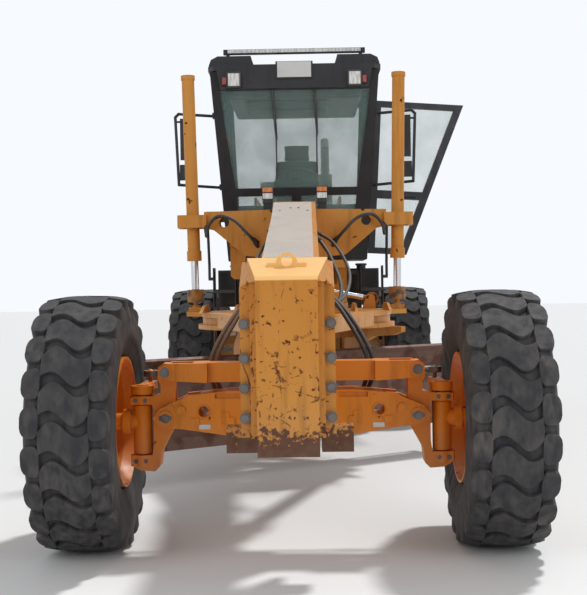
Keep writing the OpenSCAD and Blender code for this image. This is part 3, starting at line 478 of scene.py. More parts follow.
def addPost(bm, x, y, low, high, r, sides):
    addRod(bm, (x, y, low), (x, y, high), r, sides)


def addStud(bm, place, foot, top, depth, sides, turn=Matrix.Identity(4)):
    made = bmesh.ops.create_cone(bm, cap_ends=True, segments=sides, radius1=foot, radius2=top, depth=depth)
    bmesh.ops.transform(bm, matrix=Matrix.Translation(place) @ turn, verts=made["verts"])


def addRing(bm, centre, ringR, r):
    made = bmesh.ops.create_circle(bm, segments=12, radius=r)["verts"]
    bmesh.ops.translate(bm, verts=made, vec=Vector(centre) + Vector((ringR, 0, 0)))
    edges = list({e for v in made for e in v.link_edges})
    bmesh.ops.spin(bm, geom=made + edges, cent=centre, axis=(0, 1, 0), angle=2 * math.pi, steps=32,
                   use_merge=True)


# Places round a circle, which lies level where "level" is true and otherwise stands as a wheel does
def ringSpots(centre, r, count, first=0.0, level=False):
    x, y, z = centre
    spots = []
    for i in range(count):
        a = math.radians(first + 360 / count * i)
        if level:
            spots.append((x + r * math.cos(a), y + r * math.sin(a), z))
        else:
            spots.append((x, y + r * math.sin(a), z + r * math.cos(a)))
    return spots


# Tyres: a spun carcass, with a wavy lug across the middle and a block at each shoulder

# A lug's foot lies "foot" below the carcass, and is wider than its top up to "footEdge" from the middle
tyre = {"radius": 0.674, "lug": 0.026, "pitches": 22, "half": 0.220, "rim": 0.3455, "track": 1.075,
        "crown": 0.010, "crownHalf": 0.2, "shoulder": 0.17, "shoulderSlope": 0.25,
        "lugLong": 0.80, "lugRise": 0.20, "lugHalf": 0.122, "lugEnd": 0.72,
        "block": (0.118, 0.213), "blockShift": 0.04, "blockTaper": 0.16, "blockRound": (0.65, 0.6),
        "foot": 0.012, "footWider": 1.08, "footEdge": 0.20, "footFrom": 0.15, "footSlope": 1.1,
        "steps": 96, "bevel": 0.0035, "turnStep": 0.11}
wheels = {"front": 0.0, "mid": 5.494, "rear": 7.066}


def treadDrop(u):
    crown = tyre["crown"] * (u / tyre["crownHalf"]) ** 2
    return crown + max(0.0, abs(u) - tyre["shoulder"]) * tyre["shoulderSlope"]


# An outline holds places across the tread (u) and round it (v)
def addLug(bm, outline, turn):
    top, base = [], []
    midU = sum(u for u, v in outline) / len(outline)
    midV = sum(v for u, v in outline) / len(outline)
    for u, v in outline:
        crownR = tyre["radius"] - treadDrop(u)
        slant = max(0.0, abs(u) - tyre["footFrom"]) * tyre["footSlope"]
        footR = crownR - tyre["lug"] - tyre["foot"] - slant
        for r, grow, rim in ((crownR, 1.0, top), (footR, tyre["footWider"], base)):
            wide = midU + (u - midU) * (grow if abs(u) < tyre["footEdge"] else 1.0)
            a = (midV + (v - midV) * grow) / tyre["radius"] + turn
            rim.append(bm.verts.new((wide, r * math.sin(a), r * math.cos(a))))
    bm.faces.new(top)
    for k in range(len(outline)):
        after = (k + 1) % len(outline)
        bm.faces.new((top[k], base[k], base[after], top[after]))
    bm.faces.new(base[::-1])


def waveOutline(half, thick, rise, count=12):
    upper, lower = [], []
    for k in range(count + 1):
        u = half * (2 * k / count - 1)
        v = rise * math.sin(2 * math.pi * k / count)
        wide = thick * (tyre["lugEnd"] + (1 - tyre["lugEnd"]) * math.sin(math.pi * k / count))
        upper.append((u, v + wide / 2))
        lower.append((u, v - wide / 2))
    return upper + lower[::-1]


# A rounded block, a little longer at its inner end
def blockOutline(inner, outer, thick, count=16):
    mid, half = (inner + outer) / 2, (outer - inner) / 2
    roundU, roundV = tyre["blockRound"]
    outline = []
    for k in range(count):
        a = 2 * math.pi * (k + 0.5) / count
        wide = math.copysign(abs(math.cos(a)) ** roundU, math.cos(a))
        long = math.copysign(abs(math.sin(a)) ** roundV, math.sin(a))
        outline.append((mid + half * wide, thick / 2 * long * (1 - tyre["blockTaper"] * math.cos(a))))
    return outline


def tyreMesh():
    bm = bmesh.new()
    rim, half = tyre["rim"], tyre["half"]
    tread = tyre["radius"] - tyre["lug"]
    # Half the section, from the bead over the ribs of the sidewall to the tread
    section = [
        (0.150, rim), (0.178, rim + 0.012), (0.190, rim + 0.035), (0.192, rim + 0.040), (0.205, rim + 0.075),
        (0.212, rim + 0.100), (0.2155, rim + 0.104), (half, rim + 0.140), (half - 0.001, rim + 0.170),
        (half - 0.005, tread - 0.110), (half - 0.004, tread - 0.106), (half - 0.010, tread - 0.060),
        (half - 0.018, tread - 0.035), (half - 0.032, tread - 0.012), (0.150, tread - 0.005),
        (0.07, tread - 0.001)]
    line = [(-u, r) for u, r in section] + [(u, r) for u, r in section[::-1]]
    verts = [bm.verts.new((u, 0, r)) for u, r in line]
    edges = [bm.edges.new(pair) for pair in zip(verts, verts[1:] + verts[:1])]
    bmesh.ops.spin(bm, geom=verts + edges, cent=(0, 0, 0), axis=(1, 0, 0), angle=2 * math.pi,
                   steps=tyre["steps"], use_merge=True, use_duplicate=False)
    bmesh.ops.remove_doubles(bm, verts=bm.verts, dist=1e-5)
    pitch = 2 * math.pi / tyre["pitches"]
    step = pitch * tyre["radius"]
    long = tyre["lugLong"] * step
    for i in range(tyre["pitches"]):
        addLug(bm, waveOutline(tyre["lugHalf"], long, tyre["lugRise"] * step), i * pitch)
        for side in (-1, 1):
            block = [(side * u, side * v) for u, v in blockOutline(*tyre["block"], long)]
            addLug(bm, block, (i + 0.5 - tyre["blockShift"] * side) * pitch)
    return bm


def makeTyres():
    bm = tyreMesh()
    for label, y in wheels.items():
        for s, side in across:
            one = bm.copy()
            place = Matrix.Translation((s * tyre["track"], y, tyre["radius"]))
            turn = Matrix.Rotation(tyre["turnStep"] * (y + s), 4, "X")  # no two stand at the same turn
            if s < 0:
                turn = turn @ Matrix.Rotation(math.pi, 4, "Z")
            bmesh.ops.transform(one, matrix=place @ turn, verts=one.verts)
            body = f"wheel_{label}_{side}_body"
            obj = piece(f"treadedTyre_{label}_{side}", one, "tyre", body, tyre["bevel"])
            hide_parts(f"tyre_{label}_{side}")
    bm.free()
    print("tyres made")


# Bolts: a round washer and a six-sided head

boltForm = {"washer": 0.22, "washerWide": 1.35, "washerSides": 24, "head": 0.82, "headSides": 6}
frontBolts = {
    "noseX": 0.196, "noseY": -0.884, "noseZ": (0.790, 0.925, 1.060, 1.215), "noseR": 0.019,
    "coverAxis": (0, -0.23, 1), "coverR": 0.010,
    "coverSpots": ((-0.11, 2.45, 1.9437), (-0.03, 2.55, 1.971), (0.03, 2.55, 1.971), (0.10, 2.45, 1.9437)),
    "pivotX": 0.660, "pivotZ": 0.700, "pivotR": 0.018, "axleY": -0.120,
    "keeperX": 0.025, "keeperZ": (0.697, 0.7058), "keeperR": 0.007,
    "leanY": -0.115, "leanZ": 0.940, "leanR": 0.020,
    "kingX": 0.795, "kingZ": 0.812, "kingRing": 0.052, "kingBolts": 4, "kingFirst": 45,
    "bracketX": (0.775, 0.825), "bracketY": -0.062, "bracketZ": (0.47, 0.79), "bracketR": 0.009}
wheelNuts = {"ring": 0.155, "count": 10, "out": 0.050, "r": 0.014}


def addBolt(bm, place, axis, r):
    place, axis = Vector(place), Vector(axis).normalized()
    form = boltForm
    addRod(bm, place, place + axis * r * form["washer"], r * form["washerWide"], form["washerSides"])
    addRod(bm, place, place + axis * r * form["head"], r, form["headSides"])


def boltPiece(name, body, spots):
    bm = bmesh.new()
    for place, axis, r in spots:
        addBolt(bm, place, axis, r)
    piece(name, bm, "bolt", body, smooth=False)


def makeBolts():
    form = frontBolts
    rows = {"front_body": [], "axle_body": [], "lean_bar_body": [], "bracket_left_body": [],
            "bracket_right_body": []}
    for s, side in across[::-1]:
        for z in form["noseZ"]:
            rows["front_body"].append(((s * form["noseX"], form["noseY"], z), forward, form["noseR"]))
        x = s * form["pivotX"]
        for off in (form["keeperX"], -form["keeperX"]):
            for z in form["keeperZ"]:
                rows["axle_body"].append(((x + off, form["axleY"], z), forward, form["keeperR"]))
        rows["axle_body"].append(((x, form["axleY"], form["pivotZ"]), forward, form["pivotR"]))
        rows["lean_bar_body"].append(((x, form["leanY"], form["leanZ"]), forward, form["leanR"]))
        bracket = rows[f"bracket_{side}_body"]
        kingTop = (s * form["kingX"], 0, form["kingZ"])
        for spot in ringSpots(kingTop, form["kingRing"], form["kingBolts"], form["kingFirst"], level=True):
            bracket.append((spot, upward, form["bracketR"]))
        for z in form["bracketZ"]:
            for out in form["bracketX"]:
                bracket.append(((s * out, form["bracketY"], z), forward, form["bracketR"]))
    for spot in form["coverSpots"]:
        rows["front_body"].append((spot, form["coverAxis"], form["coverR"]))
    for body, spots in rows.items():
        boltPiece(f"bolts_{body}", body, spots)
    for s, side in across:
        for label, y in wheels.items():
            hub = (s * (tyre["track"] + wheelNuts["out"]), y, tyre["radius"])
            ring = ringSpots(hub, wheelNuts["ring"], wheelNuts["count"])
            boltPiece(f"wheelNuts_{label}_{side}", f"wheel_{label}_{side}_body",
                      [(spot, (s, 0, 0), wheelNuts["r"]) for spot in ring])
    print("bolts made")


# Nose and gooseneck

# Three points of the plane that cuts off the nose's left top corner; the right corner mirrors it
noseCorner = {"rear": (0.190, -0.640, 1.518), "front": (0.140, -0.950, 1.424), "side": (0.216, -0.868, 1.372)}


def makeNoseBlock():
    bm = bmesh.new()
    bm.from_mesh(nodes["push_block"].data)
    bmesh.ops.remove_doubles(bm, verts=bm.verts, dist=1e-5)
    for s in (1, -1):
        rear, front, side = (Vector((s * x, y, z)) for x, y, z in noseCorner.values())
        normal = (front - rear).cross(side - rear).normalized() * s
        parts = bm.verts[:] + bm.edges[:] + bm.faces[:]
        cut = bmesh.ops.bisect_plane(bm, geom=parts, dist=1e-6, plane_co=rear, plane_no=normal,
                                     clear_outer=True)
        rim = [e for e in cut["geom_cut"] if isinstance(e, bmesh.types.BMEdge)]
        bmesh.ops.triangle_fill(bm, use_beauty=True, edges=rim, normal=normal)
    block = piece("noseBlock", bm, "scrapedPaintAndHighlight", "front_body", smooth=False)
    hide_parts("push_block")


# The sheet lies on the gooseneck and turns down over its right edge; its pale cream is a painted highlight of
# the sun's glare on the sloping top
cover = {"left": 0.130, "right": -0.166, "rows": (0.45, 1.0, 1.6, 2.15, 2.25, 2.5, 2.78), "lift": 0.005,
         "skirt": 0.022, "sheet": 0.003}
beamLine = [(0.5, 1.550), (2.2, 1.878), (2.83, 2.045)]  # the gooseneck's top edge, along and up


def beamTop(y):
    (y0, z0), (y1, z1) = beamLine[:2] if y < beamLine[1][0] else beamLine[1:]
    return z0 + (y - y0) * (z1 - z0) / (y1 - y0)


def makeGooseneckCover():
    bm = bmesh.new()
    sheet = []
    for y in cover["rows"]:
        z = beamTop(y) + cover["lift"]
        corners = ((cover["right"], z - cover["skirt"]), (cover["right"], z), (cover["left"], z))
        sheet.append([bm.verts.new((x, y, h)) for x, h in corners])
    for one, two in zip(sheet, sheet[1:]):
        for k in (0, 1):
            bm.faces.new((one[k], one[k + 1], two[k + 1], two[k]))
    bmesh.ops.solidify(bm, geom=bm.faces[:], thickness=-cover["sheet"])
    piece("gooseneckCover", bm, "cream", "front_body", smooth=False)
    print("nose and gooseneck made")


# Hoses: "r" is half the diameter, and the points are the route's

tube = {"sides": 12, "steps": 8, "nutIn": 0.01, "nutOut": 0.05, "nutWide": 1.35}
hoses = {
    "gooseneckLeft": {"r": 0.013, "points": [
        (-0.168, 1.9, 1.72), (-0.24, 1.7, 1.60), (-0.30, 1.3, 1.40), (-0.27, 0.9, 1.26),
        (-0.168, 0.62, 1.24)]},
    "gooseneckRight": {"r": 0.013, "points": [
        (0.168, 1.9, 1.72), (0.25, 1.7, 1.58), (0.31, 1.3, 1.38), (0.27, 0.9, 1.26), (0.168, 0.64, 1.24)]},
    "gooseneckRightTwo": {"r": 0.011, "points": [
        (0.168, 2.0, 1.76), (0.29, 1.8, 1.66), (0.37, 1.4, 1.46), (0.31, 0.95, 1.30), (0.168, 0.70, 1.27)]},
}
saddleLoop = {"r": 0.012, "apart": 0.03, "rise": 0.03, "fall": 0.02}
axleHose = {
    "r": 0.012, "apart": (0.030, 0.028), "from": (0.20, 0.42, 1.33), "to": (0.42, 0.14, 0.94),
    "nutOut": 0.022, "nutWide": 1.5, "sleeveOut": 0.036, "sleeveWide": 1.25, "points": [
        (0.150, 0.42, 1.335), (0.195, 0.415, 1.33), (0.26, 0.34, 1.27), (0.335, 0.24, 1.15),
        (0.40, 0.165, 1.02), (0.415, 0.145, 0.93), (0.395, 0.150, 0.84), (0.36, 0.150, 0.785),
        (0.35, 0.110, 0.775)]}


# A smooth curve through the points
def smoothPath(points):
    pts = [Vector(p) for p in points]
    pts = [2 * pts[0] - pts[1]] + pts + [2 * pts[-1] - pts[-2]]
    path = []
    for i in range(1, len(pts) - 2):
        a, b, c, d = pts[i - 1:i + 3]
        for k in range(tube["steps"]):
            t = k / tube["steps"]
            path.append(0.5 * (2 * b + (c - a) * t + (2 * a - 5 * b + 4 * c - d) * t * t
                               + (3 * b - a - 3 * c + d) * t ** 3))
    return path + [pts[-2]]


def addTube(bm, points, r):
    path = smoothPath(points)
    sides = tube["sides"]
    normal = Vector((0, 0, 1)) if abs((path[1] - path[0]).normalized().z) < 0.9 else Vector((1, 0, 0))
    rings = []
    for i, p in enumerate(path):
        way = (path[min(i + 1, len(path) - 1)] - path[max(i - 1, 0)]).normalized()
        normal = (normal - way * normal.dot(way)).normalized()
        side = way.cross(normal)
        rings.append([bm.verts.new(p + r * (math.cos(a) * normal + math.sin(a) * side))
                      for a in (2 * math.pi * k / sides for k in range(sides))])
    for one, two in zip(rings, rings[1:]):
        for k in range(sides):
            bm.faces.new((one[k], one[(k + 1) % sides], two[(k + 1) % sides], two[k]))
    bm.faces.new(rings[0][::-1])
    bm.faces.new(rings[-1])


# The ends of a route, each with its direction into the hose
def hoseEnds(points):
    for i, j in ((0, 1), (-1, -2)):
        end = Vector(points[i])
        yield end, (Vector(points[j]) - end).normalized()


def makeHoses():
    for s in (-1, 1):
        side = "Left" if s > 0 else "Right"
        for k, dy in enumerate((-saddleLoop["apart"], saddleLoop["apart"])):
            hoses[f"saddleLoop{side}{k}"] = {"r": saddleLoop["r"], "points": [
                (s * 0.30, 2.815, 1.70 + saddleLoop["rise"] * k), (s * 0.36, 2.72 + dy, 1.78),
                (s * 0.48, 2.70 + dy, 1.90), (s * 0.60, 2.72 + dy, 1.93), (s * 0.68, 2.76, 1.86),
                (s * 0.70, 2.786, 1.80 - saddleLoop["fall"] * k), (s * 0.705, 2.80, 1.86)]}
    for name, hose in hoses.items():
        bm = bmesh.new()
        addTube(bm, hose["points"], hose["r"])
        for end, way in hoseEnds(hose["points"]):
            addRod(bm, end - way * tube["nutIn"], end + way * tube["nutOut"], hose["r"] * tube["nutWide"], 6)
        piece(f"hose_{name}", bm, "hose", "front_body")
    print("hoses made")


# Two hoses a side run between the nose and the axle
def makeAxleHoses():
    form = axleHose
    r = form["r"]
    for s, side in across:
        for k in (0, 1):
            points = []
            for i, (x, y, z) in enumerate(form["points"]):
                out = min(i / 3, 1) * form["apart"][0] * k
                back = max(1 - i / 4, 0) * form["apart"][1] * k
                points.append((s * (x + out), y + back, z))
            bm = bmesh.new()
            addTube(bm, points, r)
            for end, way in hoseEnds(points):
                addRod(bm, end - way * tube["nutIn"], end + way * form["nutOut"], r * form["nutWide"], 6)
                addRod(bm, end, end + way * form["sleeveOut"], r * form["sleeveWide"], 16)
            hose = piece(f"axleHose_{side}_{k}", bm, "hose" if s > 0 else "dustyHose", None)
            start, end = ((s * x, y, z) for x, y, z in (form["from"], form["to"]))
            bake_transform(hose)
    print("axle hoses made")


# Rear body details

tail = {"lampX": 0.435, "lampApart": 0.048, "lampY": 8.502, "lampZ": 1.235, "lampWide": 0.042,
        "lampTall": 0.047, "lampIn": 0.004, "lampOut": 0.020, "bevel": 0.008}
rearBolts = {
    "plateY": 8.530, "plateR": 0.016, "plateSpots": ((0.56, 0.90), (0.56, 1.33), (0.28, 0.90), (0.28, 0.92)),
    "railX": 0.445, "railR": 0.012,
    "rails": {1.36: (5.75, 6.15, 6.55, 6.95, 7.35, 7.6), 1.50: (4.45, 4.65, 4.85, 5.05, 5.25)}}
hoodLatch = {"x": 0.500, "y": 7.60, "z": 1.60, "r": 0.026, "lid": 0.009, "handleOut": 0.012,
             "handle": Vector((0.005, 0.025, 0.008))}
stepStuds = {"x": 0.622, "y": 4.560, "apartX": 0.026, "apartY": 0.040, "columns": 7, "rows": 6,
             "treads": (0.510, 0.790, 1.070, 1.350), "foot": 0.009, "top": 0.006, "height": 0.005,
             "lift": 0.002}
stacks = {"x": 0.300, "y": 6.300, "lip": 0.052, "lipZ": (2.640, 2.660), "exhaustR": 0.079,
          "exhaustBands": (2.16, 2.30, 2.44, 2.56), "exhaustBand": 0.012,
          "intakeR": 0.1225, "intakeBands": (2.42, 2.45, 2.48), "intakeBand": 0.008}
tankCap = {"x": 0.620, "y": 5.000, "r": 0.050, "low": 1.568, "high": 1.590,
           "grips": 8, "gripR": 0.007, "gripIn": 0.002}
tandemCase = {
    "hubX": 0.850, "hubRing": 0.110, "hubBolts": 12, "hubFirst": 15, "hubR": 0.009, "face": 0.800,
    "midY": 6.28, "midZ": 0.724, "midRing": 0.17, "midBolts": 14, "midR": 0.011,
    "plugY": (5.90, 6.66), "plugZ": 0.70, "plugR": 0.055, "plugLid": 0.006, "plugBoltR": 0.016}


def makeTailLamps():
    wide, tall = tail["lampWide"], tail["lampTall"]
    for s, side in across:
        for look, apart in (("red", -tail["lampApart"]), ("amber", tail["lampApart"])):
            bm = bmesh.new()
            x, y, z = s * (tail["lampX"] + apart), tail["lampY"], tail["lampZ"]
            addBox(bm, (x - wide, y - tail["lampIn"], z - tall), (x + wide, y + tail["lampOut"], z + tall))
            piece(f"tailLamp_{look}_{side}", bm, look, "rear_body", tail["bevel"], segments=3)


def makeRearFrameBolts():
    spots = []
    for s in (1, -1):
        for x, z in rearBolts["plateSpots"]:
            spots.append(((s * x, rearBolts["plateY"], z), (0, 1, 0), rearBolts["plateR"]))
        for z, row in rearBolts["rails"].items():
            for y in row:
                spots.append(((s * rearBolts["railX"], y, z), (s, 0, 0), rearBolts["railR"]))
    boltPiece("rearFrameBolts", "rear_body", spots)


def makeHoodLatches():
    form = hoodLatch
    x, y, z = form["x"], form["y"], form["z"]
    for s, side in across:
        bm = bmesh.new()
        addRod(bm, (s * x, y, z), (s * (x + form["lid"]), y, z), form["r"], 24)
        handle = Vector((s * (x + form["handleOut"]), y, z))
        addBox(bm, handle - form["handle"], handle + form["handle"])
        piece(f"hoodLatch_{side}", bm, "plastic", f"hood_door_{side}_body", 0.002)


def makeStepStuds():
    form = stepStuds
    bm = bmesh.new()
    for s in (1, -1):
        for z in form["treads"]:
            for i in range(form["columns"]):
                for j in range(form["rows"]):
                    x = s * (form["x"] + form["apartX"] * i)
                    place = (x, form["y"] + form["apartY"] * j, z + form["lift"])
                    addStud(bm, place, form["foot"], form["top"], form["height"], 8)
    piece("treadStuds", bm, "blackPaint", "rear_body", smooth=False)


def makeStackBands():
    x, y = stacks["x"], stacks["y"]
    bm = bmesh.new()
    addPost(bm, x, y, *stacks["lipZ"], stacks["lip"], 32)
    for z in stacks["exhaustBands"]:
        addPost(bm, x, y, z, z + stacks["exhaustBand"], stacks["exhaustR"], 40)
    for z in stacks["intakeBands"]:
        addPost(bm, -x, y, z, z + stacks["intakeBand"], stacks["intakeR"], 40)
    piece("stackBands", bm, "steel", "rear_body", 0.002)


def makeTankCaps():
    form = tankCap
    low, high = form["low"], form["high"]
    bm = bmesh.new()
    for s in (1, -1):
        x, y = s * form["x"], form["y"]
        addPost(bm, x, y, low, high, form["r"], 32)
        for spot in ringSpots((x, y, low), form["r"], form["grips"], level=True):
            addPost(bm, spot[0], spot[1], low + form["gripIn"], high - form["gripIn"], form["gripR"], 8)
    piece("tankCaps", bm, "plastic", "rear_body", 0.002)


def makeTandemBolts():
    form = tandemCase
    for s, side in across:
        bm = bmesh.new()
        out = (s, 0, 0)
        for y in (wheels["mid"], wheels["rear"]):
            hub = (s * form["hubX"], y, tyre["radius"])
            for spot in ringSpots(hub, form["hubRing"], form["hubBolts"], form["hubFirst"]):
                addBolt(bm, spot, out, form["hubR"])
        middle = (s * form["face"], form["midY"], form["midZ"])
        for spot in ringSpots(middle, form["midRing"], form["midBolts"]):
            addBolt(bm, spot, out, form["midR"])
        for y in form["plugY"]:
            plug = Vector((s * form["face"], y, form["plugZ"]))
            lid = plug + Vector((s * form["plugLid"], 0, 0))
            addRod(bm, plug, lid, form["plugR"], 32)
            addBolt(bm, lid, out, form["plugBoltR"])
        piece(f"tandemBolts_{side}", bm, "bolt", f"tandem_{side}_body", smooth=False)
    print("rear body details made")


# Blade and drawbar details

bladeBolts = {"turn": 34, "centreY": 2.75, "first": -1.74, "apart": 0.1582, "count": 23, "y": -0.296,
              "z": 0.292, "r": 0.016, "flat": 0.5}
drawbarBolts = {"x": 0.28, "y": 2.32, "ring": 0.095, "ringZ": 1.2495, "ringCount": 10, "ringFirst": 18,
                "topZ": 1.33, "r": 0.009,
                "liftX": 0.803, "liftY": 2.9, "liftZ": 1.222, "liftApart": 0.04, "liftR": 0.011}


def makeBladeBolts():
    form = bladeBolts
    bm = bmesh.new()
    for i in range(form["count"]):
        place = Matrix.Translation((form["first"] + form["apart"] * i, form["y"], form["z"]))
        made = bmesh.ops.create_uvsphere(bm, u_segments=12, v_segments=6, radius=form["r"])["verts"]
        bmesh.ops.transform(bm, matrix=place @ Matrix.Diagonal((1, form["flat"], 1, 1)), verts=made)
    turn = Matrix.Translation((0, form["centreY"], 0)) @ Matrix.Rotation(math.radians(form["turn"]), 4, "Z")
    bmesh.ops.transform(bm, matrix=turn, verts=bm.verts)
    piece("bladeBolts", bm, "bolt", "moldboard_body")


def makeDrawbarBolts():
    form = drawbarBolts
    spots = [((form["x"], form["y"], form["topZ"]), upward, form["r"])]
    centre = (form["x"], form["y"], form["ringZ"])
    for spot in ringSpots(centre, form["ring"], form["ringCount"], form["ringFirst"], level=True):
        spots.append((spot, upward, form["r"]))
    for s in (1, -1):
        for dx in (-form["liftApart"], form["liftApart"]):
            for dy in (-form["liftApart"], form["liftApart"]):
                place = (s * form["liftX"] + dx, form["liftY"] + dy, form["liftZ"])
                spots.append((place, upward, form["liftR"]))
    boltPiece("drawbarBolts", "drawbar_body", spots)
    print("blade details made")


# Cab: the windscreen slopes back towards the floor, and places on it are given across and up

cab = {"roof": 3.3, "floor": 1.62, "front": 3.95, "slope": 0.56}
wipers = {"arms": (((-0.22, 3.06), (-0.14, 2.42)), ((0.16, 3.10), (0.22, 2.45))),
          "pivotOff": 0.035, "tipOff": 0.030, "bladeOff": 0.004, "reach": 0.55, "below": 0.33, "above": 0.30,
          "armR": 0.006, "linkR": 0.004, "bladeR": 0.008, "backingR": 0.005,
          "armUp": Vector((0, 0, 0.16)), "linkUp": Vector((0.03, 0, 0.16)), "linkEnd": Vector((0.012, 0, 0)),
          "joint": Vector((0.006, 0.006, 0.02)), "backing": Vector((0, 0.012, 0))}
roofPlate = {"low": (-0.150, 3.8815, 3.228), "high": (0.150, 3.886, 3.366), "bevel": 0.002}
roofLining = {"boxes": (((-0.60, 4.07, 3.07), (0.60, 5.30, 3.17)), ((-0.45, 4.15, 2.98), (0.30, 4.45, 3.07))),
              "bevel": 0.03}


def onScreen(x, z, off):
    back = cab["slope"] * (cab["roof"] - z) / (cab["roof"] - cab["floor"])
    return Vector((x, cab["front"] + back - off, z))


def makeWipers():
    form = wipers
    bm = bmesh.new()
    for pivot, tip in form["arms"]:
        a, b = onScreen(*pivot, form["pivotOff"]), onScreen(*tip, form["tipOff"])
        mid = a + (b - a) * form["reach"]
        addRod(bm, a + form["armUp"], mid, form["armR"], 8)
        addRod(bm, a + form["linkUp"], mid + form["linkEnd"], form["linkR"], 8)
        addBox(bm, mid - form["joint"], mid + form["joint"])
        low = onScreen(mid.x, mid.z - form["below"], form["bladeOff"])
        top = onScreen(mid.x, mid.z + form["above"], form["bladeOff"])
        addRod(bm, low, top, form["bladeR"], 6)
        addRod(bm, low - form["backing"], top - form["backing"], form["backingR"], 8)
    piece("screenWipers", bm, "plastic", "rear_body", 0.001)


def makeCab():
    makeWipers()
    bm = bmesh.new()
    addBox(bm, roofPlate["low"], roofPlate["high"])
    piece("blankRoofPlate", bm, "plate", "rear_body", roofPlate["bevel"])
    bm = bmesh.new()
    for low, high in roofLining["boxes"]:
        addBox(bm, low, high)
    piece("roofLining", bm, "plastic", "rear_body", roofLining["bevel"], segments=4)
    print("cab details made")


# Lamps and mirrors

roofLamp = {"x": 0.535, "y": 3.860, "z": 3.210, "wide": 0.052, "tall": 0.057, "depth": (-0.004, 0.030),
            "rimX": 0.058, "rimZ": 0.064, "rimReach": 0.060, "rimHalf": 0.005, "rimDepth": (-0.006, 0.040)}
marker = {"x": (0.603, 0.637), "z": (3.168, 3.232), "depth": (0.001, 0.030)}
headLamp = {"x": 0.215, "y": 2.846, "half": 0.040, "depth": (-0.003, 0.02),
            "lenses": (("headLens", "lens", 2.071, 2.117), ("turnLens", "amber", 2.1235, 2.1625))}
lightBar = {"low": (-0.600, 4.066, 3.486), "high": (0.600, 4.082, 3.517), "dots": 31, "half": 0.58,
            "z": 3.5015, "dot": (0.012, 0.014, 0.003)}  # a dot is its foot, its top and its depth
mirrorFaces = (((0.940, 3.9955, 2.535), (1.020, 3.9985, 2.875)),
               ((0.966, 4.0055, 2.350), (1.034, 4.0080, 2.470)))


def makeRoofLamps(s, side):
    form = roofLamp
    x, y, z = s * form["x"], form["y"], form["z"]
    wide, tall = form["wide"], form["tall"]
    front, back = form["depth"]
    bm = bmesh.new()
    addBox(bm, (x - wide, y + front, z - tall), (x + wide, y + back, z + tall))
    piece(f"workLamp_{side}", bm, "lens", "rear_body", 0.006, segments=3)
    front, back = marker["depth"]
    (inner, outer), (low, high) = marker["x"], marker["z"]
    bm = bmesh.new()
    addBox(bm, (s * inner, y + front, low), (s * outer, y + back, high))
    piece(f"markerLamp_{side}", bm, "red", "rear_body", 0.005, segments=3)
    front, back = form["rimDepth"]
    reach, half = form["rimReach"], form["rimHalf"]
    bm = bmesh.new()
    for edge in (z - form["rimZ"], z + form["rimZ"]):
        addBox(bm, (x - reach, y + front, edge - half), (x + reach, y + back, edge + half))
    for edge in (x - form["rimX"], x + form["rimX"]):
        addBox(bm, (edge - half, y + front, z - form["rimZ"]), (edge + half, y + back, z + form["rimZ"]))
    piece(f"workLampRim_{side}", bm, "plastic", "rear_body", 0.002)


def makeHeadLamps(s, side):
    form = headLamp
    x, y, half = s * form["x"], form["y"], form["half"]
    front, back = form["depth"]
    for name, look, low, high in form["lenses"]:
        bm = bmesh.new()
        addBox(bm, (x - half, y + front, low), (x + half, y + back, high))
        piece(f"{name}_{side}", bm, look, "front_body", 0.006, segments=3)


def makeLightBar():
    bm = bmesh.new()
    addBox(bm, lightBar["low"], lightBar["high"])
    for i in range(lightBar["dots"]):
        x = lightBar["half"] * (2 * i / (lightBar["dots"] - 1) - 1)
        place = (x, lightBar["low"][1], lightBar["z"])
        addStud(bm, place, *lightBar["dot"], 12, Matrix.Rotation(math.pi / 2, 4, "X"))
    piece("lightBarLens", bm, "lens", "rear_body", 0.001)


def makeLamps():
    for s, side in across:
        makeRoofLamps(s, side)
        makeHeadLamps(s, side)
    makeLightBar()
    for s, side in across:
        bm = bmesh.new()
        for (inner, front, low), (outer, back, high) in mirrorFaces:
            addBox(bm, (s * inner, front, low), (s * outer, back, high))
        piece(f"mirrorFace_{side}", bm, "mirrorGlass", "rear_body", 0.001)
    print("lamps and mirrors made")


# Blank plates and raised pads on the front axle

axlePlate = {"x": 0.455, "half": 0.030, "y": (-0.1125, -0.110), "z": (0.640, 0.665)}
axlePad = {"x": 0.345, "half": 0.022, "y": (-0.116, -0.110), "z": (0.670, 0.730),
           "ringX": 0.458, "ringY": -0.112, "ringZ": 0.733, "ringR": 0.033, "ringThick": 0.004}


def makePlates():
    (front, back), (low, high) = axlePlate["y"], axlePlate["z"]
    bm = bmesh.new()
    for x in (-axlePlate["x"], axlePlate["x"]):
        addBox(bm, (x - axlePlate["half"], front, low), (x + axlePlate["half"], back, high))
    piece("blankAxlePlates", bm, "plate", "axle_body", 0.001)
    (front, back), (low, high) = axlePad["y"], axlePad["z"]
    bm = bmesh.new()
    for s in (1, -1):
        x = s * axlePad["x"]
        addBox(bm, (x - axlePad["half"], front, low), (x + axlePad["half"], back, high))
        ring = (s * axlePad["ringX"], axlePad["ringY"], axlePad["ringZ"])
        addRing(bm, ring, axlePad["ringR"], axlePad["ringThick"])
    piece("axlePads", bm, "orangePaint", "axle_body", 0.003)
    print("plates made")


# Seat

seatPads = {
    "seatCushion": {"low": (-0.23, 4.73, 1.90), "high": (0.23, 5.12, 2.01), "crown": 0.02},
    "seatBack": {"low": (-0.22, 5.09, 1.99), "high": (0.22, 5.21, 2.62), "crown": 0.02},
    "headRest": {"low": (-0.13, 5.14, 2.63), "high": (0.13, 5.23, 2.78), "crown": 0.012},
    "armRestLeft": {"low": (0.235, 4.80, 2.19), "high": (0.305, 5.11, 2.245), "crown": 0.006},
    "armRestRight": {"low": (-0.305, 4.80, 2.19), "high": (-0.235, 5.11, 2.245), "crown": 0.006}}
padForm = {"cuts": 6, "under": 0.2, "edge": 0.9, "pullIn": 0.012, "smooth": 0.4, "levels": 2}


